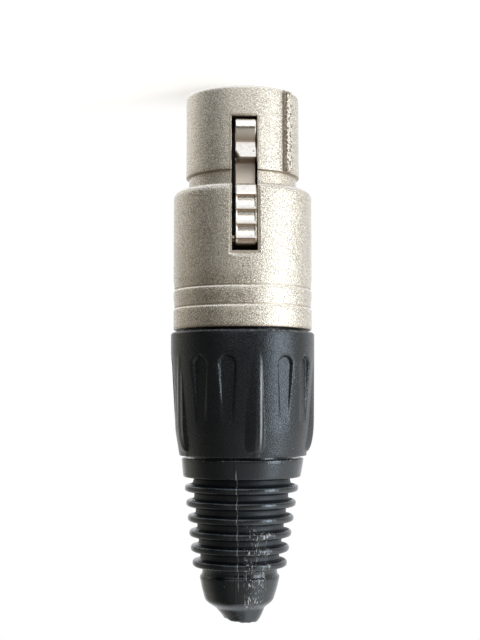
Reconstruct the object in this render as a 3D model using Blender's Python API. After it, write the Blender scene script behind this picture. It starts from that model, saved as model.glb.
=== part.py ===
"""Female three-pole audio cable plug with a push latch, a screwed gland nut and a ribbed bend relief.

Frame: metres, the plug stands on its nose rim, +Z runs along its axis to the cable end,
the origin is on the axis at the rim, and the latch looks to -Y.
Sizes below are in millimetres, angles in degrees. Heights are distances from the axis.
Angles round the plug are measured from the latch towards -X.
"""
import math

import bmesh
import bpy
from mathutils import Matrix, Vector

MM = 0.001

# Clearances
GAP = 0.3
LATCH_REAR_GAP = 0.5
THREAD_GAP = 0.35
JAW_GAP = 0.6
SPRING_SIDE_GAP = 0.4
CUT_MARGIN = 1.0

# Shell
NOSE_RADIUS = 7.9
NOSE_WALL = 1.15
NOSE_LENGTH = 11.5
RIM_ROUND = 0.35
NECK_DEPTH = 0.4
NECK_LENGTH = 1.2
NECK_EDGE = 0.1
SHOULDER_LENGTH = 1.6
SHOULDER_DROP = 1.35
STOP_SETBACK = 0.9
BODY_RADIUS = 9.6
BODY_WALL = 1.5
THREAD_LENGTH = 4.4
REAR_BAND = 2.95
FRONT_BAND = 2.55
BAND_STEP = 0.12
BAND_TAPER = 1.5
SHELL_EDGE = 0.25

# Key rib on the nose
KEY_ANGLE = 50.0
KEY_WIDTH = 1.15
KEY_HEIGHT = 0.7
KEY_SETBACK = 0.35
KEY_EDGE = 0.2

# Shallow relief round the latch slot
RELIEF_MARGIN = 0.6
RELIEF_DEPTH = 0.35
RELIEF_SLOPE = 0.3

# Latch
LATCH_WIDTH = 2.8
LATCH_TIP = 4.55
TIP_CREST = 1.1
TIP_ROUND = 0.75
CREST_RISE = 0.05
DIP_AT = 3.3
DIP_DEPTH = 0.55
HOOK_AT = 5.45
HOOK_HEIGHT = 0.85
PAD_AT = 9.3
PAD_DROP = 0.35
FIRST_TOOTH = 1.31
TOOTH_PITCH = 1.96
TOOTH_COUNT = 4
TOOTH_DEPTH = 0.36
PAD_TAIL = 1.06
LATCH_THICKNESS = 1.6
LATCH_EDGE = 0.15
LATCH_SIDE_CHAMFER = 0.18
REAR_ROUND = 1.0
REAR_HEEL = 0.6
LATCH_TRAVEL = 5.5
TRUNNION_RADIUS = 0.6
TRUNNION_LENGTH = 1.1
TRUNNION_SETBACK = 1.2
TRUNNION_DEPTH = 0.5

# Latch spring
SPRING_AT = 10.05
SPRING_RADIUS = 0.95
SPRING_WIRE = 0.3
SPRING_TURNS = 4
SPRING_LENGTH = 2.7

# Insert and contacts
FACE_SETBACK = 0.6
FACE_THICKNESS = 1.0
INSERT_EDGE = 0.3
ENTRY_LEAD = 0.4
PIN_CIRCLE = 3.85
PIN_CLEARANCE = 0.15
CONTACT_RADIUS = 1.6
CONTACT_EDGE = 0.1
SOCKET_WALL = 0.4
SOCKET_DEPTH = 9.1
SOCKET_SPLIT = 6.0
SPLIT_WIDTH = 0.35
COLLAR_RADIUS = 2.1
COLLAR_SETBACK = 0.9
COLLAR_THICKNESS = 1.2
CARRIER_TAIL = 1.1
CUP_LENGTH = 3.3
CUP_WALL = 0.45
CUP_OPENING = 2.6

# Ground leaf
LEAF_THICKNESS = 0.3
LEAF_WIDTH = 10.0
LEAF_LENGTH = 4.0
LEAF_TAB_WIDTH = 2.0
LEAF_TAB_LENGTH = 3.0

# Cable chuck
JAW_WALL = 1.4
CHUCK_SETBACK = 1.3
CHUCK_RING = 1.4
CHUCK_MOUTH = 0.5
JAW_CONE_START = 1.3
JAW_END_DEPTH = 4.9
JAW_END_DROP = 1.0
JAW_SLOT = 0.9
JAW_ROOT = 1.2
GRIP_HEIGHT = 0.2
GRIP_PITCH = 1.4
GRIP_WIDTH = 0.6
GRIP_COUNT = 4

# Gland nut
NUT_STANDOFF = 0.6
NUT_PROUD = 0.33
NUT_WALL = 1.5
NUT_LENGTH = 16.6
NUT_EDGE = 0.4
NUT_TAIL_EDGE = 0.15
SLEEVE_WALL = 1.25
SLEEVE_EDGE = 0.3
PANEL_START = 2.5
PANEL_MID = 13.2
PANEL_DROP = 0.67
PANEL_TAIL_DROP = 1.23
FIN_COUNT = 5
FIN_ANGLE = 12.0
FIN_CREST_WIDTH = 0.5
FIN_WIDE_FLANK = 1.5
FIN_STEEP_FLANK = 0.65
FIN_DROP = 0.08
FIN_STRAIGHT = 11.2
FIN_LENGTH = 16.0
RECESS_ANGLE = 24.0
RECESS_START = 3.2
RECESS_LENGTH = 8.9
RECESS_TOP_WIDTH = 2.3
RECESS_END_WIDTH = 1.35
RECESS_DEPTH = 0.63
SNAP_GROOVE_AT = 7.6
SNAP_GROOVE_DEPTH = 0.4

# Bend relief
SPIGOT_START = 6.2
SPIGOT_MOUTH = 0.3
SPIGOT_EDGE = 0.3
SNAP_WIDTH = 1.1
RELIEF_COLLAR_INSET = 0.3
RELIEF_COLLAR_TAPER = 0.3
RELIEF_COLLAR_LENGTH = 2.6
RELIEF_COLLAR_EDGE = 0.25
RIB_COUNT = 6
FIRST_RIB = 1.5
RIB_PITCH = 2.03
RIB_INSET = 0.7
RIB_STEP = 0.276
RIB_THICKNESS = 0.95
RIB_ROUND = 0.28
RIB_DEPTH = 0.75
RIB_FLARE = 0.08
TIP_SETBACK = 1.25
TIP_INSET = 0.91
TIP_GROOVE_DEPTH = 0.31
TIP_BARREL = 3.0
TIP_BARREL_TAPER = 0.7
TIP_EDGE = 0.2
TIP_DOME = 3.3
TIP_DOME_START = 0.8
TIP_DOME_DROP = 0.6
TIP_CHAMFER = 0.4
TIP_HOLE = 1.65
TIP_END_WALL = 0.45
TIP_CUT_TILT = 5.0
TIP_CUT_LIFT = 0.35

# Facets round each piece
SHELL_FACETS = 48
RELIEF_FACETS = 36
INSERT_FACETS = 36
CONTACT_FACETS = 12
CHUCK_FACETS = 32
PANEL_FACETS = 6

# Places that follow from the sizes
nose_bore = NOSE_RADIUS - NOSE_WALL
neck_radius = NOSE_RADIUS - NECK_DEPTH
body_bore = BODY_RADIUS - BODY_WALL
neck_end = NOSE_LENGTH + NECK_LENGTH
stop_z = neck_end + STOP_SETBACK

slot_half = LATCH_WIDTH / 2 + GAP
crest_height = NOSE_RADIUS + CREST_RISE
latch_neck = neck_radius - GAP
latch_under = latch_neck - LATCH_THICKNESS
pad_z = LATCH_TIP + PAD_AT
pad_top = BODY_RADIUS - PAD_DROP
tooth_top = BODY_RADIUS
latch_rear = pad_z + FIRST_TOOTH + (TOOTH_COUNT - 1) * TOOTH_PITCH + PAD_TAIL
pivot_z = latch_rear - TRUNNION_SETBACK
pivot_height = body_bore - TRUNNION_DEPTH
trunnion_half = LATCH_WIDTH / 2 + TRUNNION_LENGTH
travel = math.radians(LATCH_TRAVEL)
tip_reach = pivot_z - LATCH_TIP
pressed_under = pivot_height - (pivot_height - latch_under) * math.cos(travel) - tip_reach * math.sin(travel)
channel_floor = pressed_under - GAP
channel_half = slot_half + GAP
spring_z = LATCH_TIP + SPRING_AT
spring_top = latch_under - GAP
spring_bottom = spring_top - SPRING_LENGTH

insert_radius = nose_bore - GAP
carrier_radius = body_bore - GAP
cavity_radius = CONTACT_RADIUS + GAP
socket_bore = CONTACT_RADIUS - SOCKET_WALL
pin_entry = socket_bore + PIN_CLEARANCE
cup_bore = CONTACT_RADIUS - CUP_WALL
socket_z = FACE_SETBACK + FACE_THICKNESS + GAP
collar_z = stop_z + GAP + COLLAR_SETBACK
collar_end = collar_z + COLLAR_THICKNESS
insert_split = collar_end
carrier_z = insert_split + GAP
carrier_end = pivot_z + CARRIER_TAIL
cup_end = carrier_end + CUP_LENGTH
leaf_radius = carrier_radius - LEAF_THICKNESS
leaf_end = carrier_end - GAP
leaf_span = math.degrees(LEAF_WIDTH / leaf_radius)
leaf_tab_span = math.degrees(LEAF_TAB_WIDTH / leaf_radius)

chuck_z = cup_end + CHUCK_SETBACK
chuck_ring_end = chuck_z + CHUCK_RING
sleeve_z = chuck_ring_end + GAP
shell_length = sleeve_z + THREAD_LENGTH
sleeve_radius = body_bore - THREAD_GAP
sleeve_bore = sleeve_radius - SLEEVE_WALL
nut_z = shell_length + NUT_STANDOFF
nut_end = nut_z + NUT_LENGTH
nut_radius = BODY_RADIUS + NUT_PROUD
nut_tail_radius = nut_radius - PANEL_TAIL_DROP
chuck_radius = sleeve_bore - JAW_GAP
jaw_cone_z = nut_z - JAW_CONE_START
jaw_end = nut_z + JAW_END_DEPTH
jaw_end_radius = chuck_radius - JAW_END_DROP
cable_radius = jaw_end_radius - JAW_WALL
spigot_z = nut_z + SPIGOT_START
spigot_bore = nut_tail_radius - NUT_WALL
spigot_radius = spigot_bore - GAP
groove_z = nut_z + SNAP_GROOVE_AT
groove_radius = spigot_bore + SNAP_GROOVE_DEPTH
snap_z = groove_z + GAP
relief_collar_z = nut_end + GAP
relief_collar_end = relief_collar_z + RELIEF_COLLAR_LENGTH
first_rib_z = relief_collar_end + FIRST_RIB
last_rib_z = first_rib_z + (RIB_COUNT - 1) * RIB_PITCH
relief_collar_radius = nut_tail_radius - RELIEF_COLLAR_INSET
rib_radius = relief_collar_radius - RIB_INSET
tip_radius = rib_radius - (RIB_COUNT - 1) * RIB_STEP - TIP_INSET
tip_end_radius = TIP_HOLE + TIP_END_WALL
tip_z = last_rib_z + RIB_THICKNESS / 2 + TIP_SETBACK
tip_end = tip_z + TIP_BARREL + TIP_DOME


def point(height, angle, z):
    """A place at a distance from the axis, at an angle round it from the latch, in metres."""
    turn = math.radians(angle)
    return Vector((-height * math.sin(turn), -height * math.cos(turn), z)) * MM


def material(name, colour, roughness, metallic=0.0):
    made = bpy.data.materials.new(name)
    made.use_nodes = True
    shader = made.node_tree.nodes["Principled BSDF"]
    shader.inputs["Base Color"].default_value = (*colour, 1.0)
    shader.inputs["Roughness"].default_value = roughness
    shader.inputs["Metallic"].default_value = metallic
    return made


def add_object(name, bm, finish=None, sharp=35.0):
    """Close a bmesh into an object, with its faces out and its round sides shaded smooth."""
    bmesh.ops.recalc_face_normals(bm, faces=bm.faces)
    mesh = bpy.data.meshes.new(name)
    bm.to_mesh(mesh)
    bm.free()
    mesh.shade_smooth()
    mesh.set_sharp_from_angle(angle=math.radians(sharp))
    piece = bpy.data.objects.new(name, mesh)
    bpy.context.scene.collection.objects.link(piece)
    if finish:
        mesh.materials.append(finish)
    return piece


def turned(outline, facets, start=0.0, sweep=360.0):
    """Turn a closed outline of (radius, z) points round the axis, all round or for a part of it."""
    bm = bmesh.new()
    loop = [bm.verts.new(point(radius, start, z)) for radius, z in outline]
    edges = [bm.edges.new((loop[i - 1], loop[i])) for i in range(len(loop))]
    whole = sweep >= 360.0
    if not whole:
        bm.faces.new(loop)
    made = bmesh.ops.spin(
        bm, geom=loop + edges, cent=(0, 0, 0), axis=(0, 0, -1), angle=math.radians(sweep),
        steps=facets, use_merge=whole, use_duplicate=False,
    )
    if not whole:
        last = [item for item in made["geom_last"] if isinstance(item, bmesh.types.BMEdge)]
        bmesh.ops.contextual_create(bm, geom=last)
    bmesh.ops.remove_doubles(bm, verts=bm.verts, dist=0.0002 * MM)
    bmesh.ops.dissolve_degenerate(bm, dist=0.0002 * MM, edges=bm.edges)
    return bm


def lofted(sections):
    """Join closed sections, each a ring of as many points, and the last one to the first."""
    bm = bmesh.new()
    rings = [[bm.verts.new(place) for place in section] for section in sections]
    for here, there in zip(rings, rings[1:] + rings[:1]):
        for i in range(len(here)):
            bm.faces.new((here[i - 1], here[i], there[i], there[i - 1]))
    return bm


def extruded(outline, axis, low, high):
    """Extrude a flat outline of vectors along a direction, between two distances in millimetres."""
    bm = bmesh.new()
    direction = Vector(axis) * MM
    near = [bm.verts.new(place + direction * low) for place in outline]
    far = [bm.verts.new(place + direction * high) for place in outline]
    bm.faces.new(near)
    bm.faces.new(list(reversed(far)))
    for i in range(len(outline)):
        bm.faces.new((near[i - 1], near[i], far[i], far[i - 1]))
    return bm


def block(low, high):
    """A plain block between two corners in millimetres."""
    (x0, y0, z0), (x1, y1, z1) = low, high
    outline = [Vector(corner) * MM for corner in ((x0, y0, 0), (x1, y0, 0), (x1, y1, 0), (x0, y1, 0))]
    return extruded(outline, (0, 0, 1), z0, z1)


def combine(target, tool, operation="DIFFERENCE"):
    """Cut a piece with a tool, or join the tool to it. The tool stays hidden."""
    tool.display_type = "WIRE"
    tool.hide_render = True
    change = target.modifiers.new(tool.name, "BOOLEAN")
    change.operation = operation
    change.solver = "EXACT"
    change.object = tool


def cut(target, name, bm):
    tool = add_object(name, bm)
    combine(target, tool)
    return tool


def pivot_at(piece, place):
    """Put a piece's origin on its joint's axis."""
    piece.data.transform(Matrix.Translation(-place))
    piece.location = place


def arc(centre, radius, start, end, count):
    """Points along a circular arc, from a start angle to an end angle, both kept."""
    angles = [math.radians(start + (end - start) * i / count) for i in range(count + 1)]
    return [(centre[0] + radius * math.cos(a), centre[1] + radius * math.sin(a)) for a in angles]


def shell_outline():
    """Half section of the die-cast shell, from the nose rim out, back to the rear and in again."""
    front_step = shell_length - REAR_BAND - FRONT_BAND
    rear_step = shell_length - REAR_BAND
    step_radius = BODY_RADIUS - BAND_STEP
    outline = [(nose_bore + SHELL_EDGE, 0.0)]
    outline += arc((NOSE_RADIUS - RIM_ROUND, RIM_ROUND), RIM_ROUND, -90, 0, 3)
    outline += [
        (NOSE_RADIUS, NOSE_LENGTH - NECK_EDGE),
        (NOSE_RADIUS - NECK_EDGE, NOSE_LENGTH),
        (neck_radius, NOSE_LENGTH + NECK_EDGE),
        (neck_radius, neck_end),
    ]
    quarter = [math.radians(15 + 25 * i) for i in range(4)]
    outline += [
        (BODY_RADIUS - SHOULDER_DROP * (1 - math.sin(a)), neck_end + SHOULDER_LENGTH * (1 - math.cos(a)))
        for a in quarter
    ]
    for step_z in (front_step, rear_step):
        outline += [
            (BODY_RADIUS, step_z - BAND_TAPER),
            (step_radius, step_z),
            (BODY_RADIUS, step_z + BAND_STEP),
        ]
    outline += [
        (BODY_RADIUS, shell_length - SHELL_EDGE),
        (BODY_RADIUS - SHELL_EDGE, shell_length),
        (body_bore + SHELL_EDGE, shell_length),
        (body_bore, shell_length - SHELL_EDGE),
        (body_bore, stop_z),
        (nose_bore, stop_z),
        (nose_bore, SHELL_EDGE),
    ]
    return outline


def make_housing(finish):
    """Die-cast shell with its key rib, latch slot, slot relief and trunnion seats."""
    shell = add_object("housing", turned(shell_outline(), SHELL_FACETS), finish)

    half = KEY_WIDTH / 2
    top = NOSE_RADIUS + KEY_HEIGHT
    root = (NOSE_RADIUS + nose_bore) / 2
    section = [(-half, root), (half, root), (half, top - KEY_EDGE), (half - KEY_EDGE, top),
               (KEY_EDGE - half, top), (-half, top - KEY_EDGE)]
    turn = Matrix.Rotation(math.radians(-KEY_ANGLE), 4, "Z")
    outline = [turn @ (Vector((across, -height, 0)) * MM) for across, height in section]
    rib = add_object("key_rib_form", extruded(outline, (0, 0, 1), KEY_SETBACK, NOSE_LENGTH))
    combine(shell, rib, "UNION")

    slot_front = LATCH_TIP - GAP
    slot_rear = latch_rear + LATCH_REAR_GAP
    beyond = BODY_RADIUS + CUT_MARGIN
    inside = nose_bore / 2
    cut(shell, "slot_cutter", block((-slot_half, -beyond, slot_front), (slot_half, -inside, slot_rear)))

    floor = BODY_RADIUS - RELIEF_DEPTH
    floor_half = slot_half + RELIEF_MARGIN - RELIEF_SLOPE
    rise = beyond - floor
    spread = RELIEF_SLOPE / RELIEF_DEPTH * rise
    section = [(-floor_half, floor), (floor_half, floor), (floor_half + spread, beyond),
               (-floor_half - spread, beyond)]
    outline = [Vector((across, -height, 0)) * MM for across, height in section]
    relief_end = slot_rear + RELIEF_MARGIN
    cut(shell, "relief_cutter", extruded(outline, (0, 0, 1), neck_end, relief_end))

    seat = TRUNNION_RADIUS + GAP
    seat_half = trunnion_half + GAP
    outline = [
        Vector((0, -height, z)) * MM for height, z in
        arc((pivot_height, pivot_z), seat, -90, 90, 8)
    ]
    outline += [Vector((0, -inside, pivot_z + seat)) * MM, Vector((0, -inside, pivot_z - seat)) * MM]
    cut(shell, "trunnion_cutter", extruded(outline, (1, 0, 0), -seat_half, seat_half))
    return shell


def latch_outline():
    """Side outline of the latch as (z, height): over its tip, hook and thumb teeth, and back below."""
    tip_centre = (LATCH_TIP + TIP_ROUND, crest_height - TIP_ROUND)
    dip = (LATCH_TIP + DIP_AT, NOSE_RADIUS - DIP_DEPTH)
    hook_z = LATCH_TIP + HOOK_AT
    outline = arc(tip_centre, TIP_ROUND, 180, 90, 4)
    outline += [
        (LATCH_TIP + TIP_CREST, crest_height),
        ((LATCH_TIP + TIP_CREST + dip[0]) / 2, (crest_height + dip[1]) / 2 + LATCH_EDGE / 2),
        dip,
        (hook_z, NOSE_RADIUS + HOOK_HEIGHT),
        (hook_z + LATCH_EDGE, NOSE_RADIUS + HOOK_HEIGHT - LATCH_EDGE),
        (hook_z + 2 * LATCH_EDGE, latch_neck + LATCH_EDGE),
        (hook_z + 3 * LATCH_EDGE, latch_neck),
        (pad_z - LATCH_EDGE, latch_neck),
        (pad_z, latch_neck + LATCH_EDGE),
        (pad_z, pad_top - LATCH_EDGE),
        (pad_z + LATCH_EDGE, pad_top),
    ]
    for i in range(TOOTH_COUNT):
        crest = pad_z + FIRST_TOOTH + i * TOOTH_PITCH
        before_crest = (crest - TOOTH_PITCH * 0.18, tooth_top - TOOTH_DEPTH * 0.17)
        outline += [before_crest, (crest, tooth_top)]
        if i < TOOTH_COUNT - 1:
            outline += [
                (crest + TOOTH_PITCH * along, tooth_top - TOOTH_DEPTH * down)
                for along, down in ((0.2, 0.6), (0.36, 1.0), (0.56, 0.8))
            ]
    rear_centre = (latch_rear - REAR_ROUND, tooth_top - LATCH_EDGE - REAR_ROUND)
    outline += arc(rear_centre, REAR_ROUND, 70, 0, 3)
    outline += [
        (latch_rear, latch_under + REAR_HEEL),
        (latch_rear - REAR_HEEL, latch_under),
        (LATCH_TIP + 2 * LATCH_EDGE, latch_under),
        (LATCH_TIP, latch_under + 2 * LATCH_EDGE),
    ]
    return outline


def make_latch(finish):
    """Die-cast lever with a hook, thumb teeth and the two trunnions that it rocks on."""
    outline = [Vector((0, -height, z)) * MM for z, height in latch_outline()]
    half = LATCH_WIDTH / 2
    latch = add_object("latch", extruded(outline, (1, 0, 0), -half, half), finish)
    edges = latch.modifiers.new("side_chamfer", "BEVEL")
    edges.width = LATCH_SIDE_CHAMFER * MM
    edges.segments = 1
    edges.limit_method = "ANGLE"
    edges.angle_limit = math.radians(60)
    outline = [
        Vector((0, -height, z)) * MM for height, z in
        arc((pivot_height, pivot_z), TRUNNION_RADIUS, 0, 360 - 360 / 12, 11)
    ]
    trunnions = add_object("trunnion_form", extruded(outline, (1, 0, 0), -trunnion_half, trunnion_half))
    combine(latch, trunnions, "UNION")
    place = Vector((0, -pivot_height, pivot_z)) * MM
    for piece in (latch, trunnions):
        pivot_at(piece, place)
    return latch


def make_spring(finish):
    """Small coil spring that lifts the latch, from its pocket in the insert to the latch's underside."""
    sides = 5
    steps = 10
    wire = SPRING_WIRE / 2
    rise = SPRING_LENGTH - SPRING_WIRE
    count = SPRING_TURNS * steps
    bm = bmesh.new()
    rings = []
    for i in range(count + 1):
        turn = 2 * math.pi * i / steps
        height = spring_bottom + wire + rise * i / count
        out = Vector((math.cos(turn), 0, math.sin(turn)))
        centre = Vector((0, -height, spring_z)) + out * SPRING_RADIUS
        ring = []
        for j in range(sides):
            around = 2 * math.pi * j / sides
            place = centre + (out * math.cos(around) + Vector((0, 1, 0)) * math.sin(around)) * wire
            ring.append(bm.verts.new(place * MM))
        rings.append(ring)
    for here, there in zip(rings, rings[1:]):
        for j in range(sides):
            bm.faces.new((here[j - 1], here[j], there[j], there[j - 1]))
    bm.faces.new(rings[0])
    bm.faces.new(rings[-1])
    return add_object("latch_spring", bm, finish)


def contact_places():
    """The contacts stand at the sides and opposite the latch."""
    return {"contact_1": -90.0, "contact_2": 90.0, "contact_3": 180.0}


def make_insert_front(finish):
    """Moulded insulator with its socket cavities, the latch channel and the spring pocket."""
    flange_z = stop_z + GAP
    outline = [
        (0, FACE_SETBACK), (insert_radius - INSERT_EDGE, FACE_SETBACK),
        (insert_radius, FACE_SETBACK + INSERT_EDGE),
        (insert_radius, flange_z), (carrier_radius, flange_z), (carrier_radius, insert_split),
        (0, insert_split),
    ]
    insert = add_object("insert_front", turned(outline, INSERT_FACETS), finish)
    entry_end = FACE_SETBACK + FACE_THICKNESS
    seat = collar_z - GAP
    lead = pin_entry + ENTRY_LEAD
    before = FACE_SETBACK - CUT_MARGIN
    after = insert_split + CUT_MARGIN
    hole = [
        (0, before), (lead, before), (lead, FACE_SETBACK), (pin_entry, FACE_SETBACK + ENTRY_LEAD),
        (pin_entry, entry_end), (cavity_radius, entry_end), (cavity_radius, seat),
        (COLLAR_RADIUS + GAP, seat), (COLLAR_RADIUS + GAP, after), (0, after),
    ]
    for name, angle in contact_places().items():
        bm = turned(hole, 2 * CONTACT_FACETS)
        bmesh.ops.translate(bm, verts=bm.verts, vec=point(PIN_CIRCLE, angle, 0))
        cut(insert, name + "_cavity_cutter", bm)
    deep = carrier_radius + CUT_MARGIN
    channel_start = LATCH_TIP - GAP
    cut(insert, "front_channel_cutter",
        block((-channel_half, -deep, channel_start), (channel_half, -channel_floor, after)))
    pocket_radius = SPRING_RADIUS + SPRING_WIRE / 2 + SPRING_SIDE_GAP
    pocket = [
        Vector((x, 0, z)) * MM for x, z in arc((0, spring_z), pocket_radius, 0, 337.5, 15)
    ]
    cut(insert, "spring_pocket_cutter",
        extruded(pocket, (0, -1, 0), spring_bottom - GAP, channel_floor + CUT_MARGIN))
    return insert


def make_insert_rear(finish):
    """Rear carrier that holds the contacts' collars, the latch's trunnions and the ground leaf."""
    outline = [
        (0, carrier_z), (carrier_radius, carrier_z), (carrier_radius, carrier_end - INSERT_EDGE),
        (carrier_radius - INSERT_EDGE, carrier_end), (0, carrier_end),
    ]
    carrier = add_object("insert_rear", turned(outline, INSERT_FACETS), finish)
    before = carrier_z - CUT_MARGIN
    after = carrier_end + CUT_MARGIN
    hole = [(0, before), (cavity_radius, before), (cavity_radius, after), (0, after)]
    for name, angle in contact_places().items():
        bm = turned(hole, 2 * CONTACT_FACETS)
        bmesh.ops.translate(bm, verts=bm.verts, vec=point(PIN_CIRCLE, angle, 0))
        cut(carrier, name + "_stem_cutter", bm)
    deep = carrier_radius + CUT_MARGIN
    cut(carrier, "rear_channel_cutter",
        block((-channel_half, -deep, before), (channel_half, -channel_floor, after)))
    saddle = TRUNNION_RADIUS + GAP
    saddle_half = trunnion_half + GAP
    cut(carrier, "saddle_cutter",
        block((-saddle_half, -deep, pivot_z - saddle), (saddle_half, saddle - pivot_height, pivot_z + saddle)))
    floor = leaf_radius - GAP
    seat = [
        (floor, leaf_end - LEAF_LENGTH - GAP), (deep, leaf_end - LEAF_LENGTH - GAP),
        (deep, after), (floor, after),
    ]
    margin = math.degrees(GAP / leaf_radius)
    start = 180 - leaf_span / 2 - margin
    cut(carrier, "leaf_seat_cutter", turned(seat, 10, start, leaf_span + 2 * margin))
    return carrier


def make_contact(name, angle, finish):
    """Turned socket contact: split front, locating collar, stem and half-open solder cup."""
    socket_floor = socket_z + SOCKET_DEPTH
    cup_floor = cup_end - CUP_LENGTH
    outline = [
        (0, socket_floor), (socket_bore, socket_floor), (socket_bore, socket_z + 2 * CONTACT_EDGE),
        (socket_bore + CONTACT_EDGE, socket_z), (CONTACT_RADIUS - CONTACT_EDGE, socket_z),
        (CONTACT_RADIUS, socket_z + CONTACT_EDGE),
        (CONTACT_RADIUS, collar_z), (COLLAR_RADIUS, collar_z), (COLLAR_RADIUS, collar_end),
        (CONTACT_RADIUS, collar_end), (CONTACT_RADIUS, cup_end), (cup_bore, cup_end), (cup_bore, cup_floor),
        (0, cup_floor),
    ]
    bm = turned(outline, CONTACT_FACETS)
    contact = add_object(name, bm, finish)
    half = SPLIT_WIDTH / 2
    reach = CONTACT_RADIUS + CUT_MARGIN
    split = cut(contact, name + "_split_cutter",
                block((-reach, -half, socket_z - CUT_MARGIN), (reach, half, socket_z + SOCKET_SPLIT)))
    opening = cut(contact, name + "_cup_cutter",
                  block((-reach, -reach, cup_end - CUP_OPENING), (reach, -cup_bore / 3, cup_end + CUT_MARGIN)))
    place = point(PIN_CIRCLE, angle, 0)
    for piece in (contact, split, opening):
        piece.rotation_euler.z = math.radians(-angle)
        piece.location = place
    return contact


def make_ground_leaf(finish):
    """Bent sheet strip between the carrier and the shell, with a solder tab to the rear."""
    middle = leaf_radius + LEAF_THICKNESS / 2
    side = [leaf_tab_span / 2 + (leaf_span - leaf_tab_span) / 2 * i / 4 for i in range(5)]
    angles = [180 - angle for angle in reversed(side)] + [180 + angle for angle in side]
    bm = bmesh.new()
    low, high = [
        [bm.verts.new(point(middle, angle, z)) for angle in angles] for z in (leaf_end - LEAF_LENGTH, leaf_end)
    ]
    for i in range(1, len(angles)):
        bm.faces.new((low[i - 1], low[i], high[i], high[i - 1]))
    tip = [bm.verts.new(point(middle, angle, leaf_end + LEAF_TAB_LENGTH)) for angle in angles[4:6]]
    bm.faces.new((high[4], high[5], tip[1], tip[0]))
    leaf = add_object("ground_leaf", bm, finish)
    sheet = leaf.modifiers.new("sheet_thickness", "SOLIDIFY")
    sheet.thickness = LEAF_THICKNESS * MM
    sheet.offset = 0
    return leaf


def make_chuck(finish):
    """Collet with four jaws and grip ridges, which the gland nut's cone closes on the cable."""
    outline = [
        (cable_radius + CHUCK_MOUTH, chuck_z), (carrier_radius, chuck_z), (carrier_radius, chuck_ring_end),
        (chuck_radius, chuck_ring_end), (chuck_radius, jaw_cone_z), (jaw_end_radius, jaw_end),
        (cable_radius, jaw_end),
    ]
    for i in range(GRIP_COUNT):
        top = jaw_end - GRIP_WIDTH - i * GRIP_PITCH
        outline += [
            (cable_radius, top), (cable_radius - GRIP_HEIGHT, top - GRIP_WIDTH / 3),
            (cable_radius - GRIP_HEIGHT, top - GRIP_WIDTH * 2 / 3), (cable_radius, top - GRIP_WIDTH),
        ]
    outline.append((cable_radius, chuck_ring_end))
    chuck = add_object("chuck", turned(outline, CHUCK_FACETS), finish)
    half = JAW_SLOT / 2
    reach = carrier_radius + CUT_MARGIN
    low = chuck_ring_end + JAW_ROOT
    high = jaw_end + CUT_MARGIN
    cut(chuck, "jaw_slot_cutter_x", block((-reach, -half, low), (reach, half, high)))
    cut(chuck, "jaw_slot_cutter_y", block((-half, -reach, low), (half, reach, high)))
    return chuck


def nut_panel_radius(depth):
    """Radius of the panels between the fins, at a depth behind the nut's front edge."""
    if depth <= PANEL_START:
        return nut_radius
    if depth <= PANEL_MID:
        return nut_radius - PANEL_DROP * (depth - PANEL_START) / (PANEL_MID - PANEL_START)
    share = (depth - PANEL_MID) / (NUT_LENGTH - PANEL_MID)
    return nut_radius - PANEL_DROP - (PANEL_TAIL_DROP - PANEL_DROP) * share


def nut_fin_radius(depth):
    """Radius of a fin's crest: almost level, then curving in to the panels at its lower end."""
    if depth <= PANEL_START:
        return nut_radius
    if depth <= FIN_STRAIGHT:
        return nut_radius - FIN_DROP * (depth - PANEL_START) / (FIN_STRAIGHT - PANEL_START)
    low = nut_panel_radius(FIN_LENGTH)
    share = min(1.0, (depth - FIN_STRAIGHT) / (FIN_LENGTH - FIN_STRAIGHT))
    return low + (nut_radius - FIN_DROP - low) * math.sqrt(max(0.0, 1 - share ** 2.2))


def nut_section(depth, inset=0.0):
    """One section of the nut's outside: five fins, each with a wide and a steep flank, and panels between."""
    panel = nut_panel_radius(depth)
    crest = max(panel, nut_fin_radius(depth))
    height = (crest - panel) / (PANEL_TAIL_DROP - PANEL_DROP + FIN_DROP)
    spread = max(0.15, min(1.0, math.sqrt(height)))
    crest_half = FIN_CREST_WIDTH / 2
    wide, steep = FIN_WIDE_FLANK * spread, FIN_STEEP_FLANK * spread
    rounding = min(0.06, (crest - panel) / 2)
    fin = [
        (-crest_half - wide, panel), (-crest_half - wide / 2, (panel + crest) / 2),
        (-crest_half, crest - rounding), (0, crest), (crest_half, crest - rounding),
        (crest_half + steep / 2, (panel + crest) / 2), (crest_half + steep, panel),
    ]
    places = [(math.degrees(across / crest), radius) for across, radius in fin]
    pitch = 360 / FIN_COUNT
    first, last = places[-1][0], places[0][0] + pitch
    places += [(first + (last - first) * i / PANEL_FACETS, panel) for i in range(1, PANEL_FACETS)]
    return [
        point(radius - inset, FIN_ANGLE + k * pitch + angle, nut_z + depth)
        for k in range(FIN_COUNT) for angle, radius in places
    ]


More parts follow.
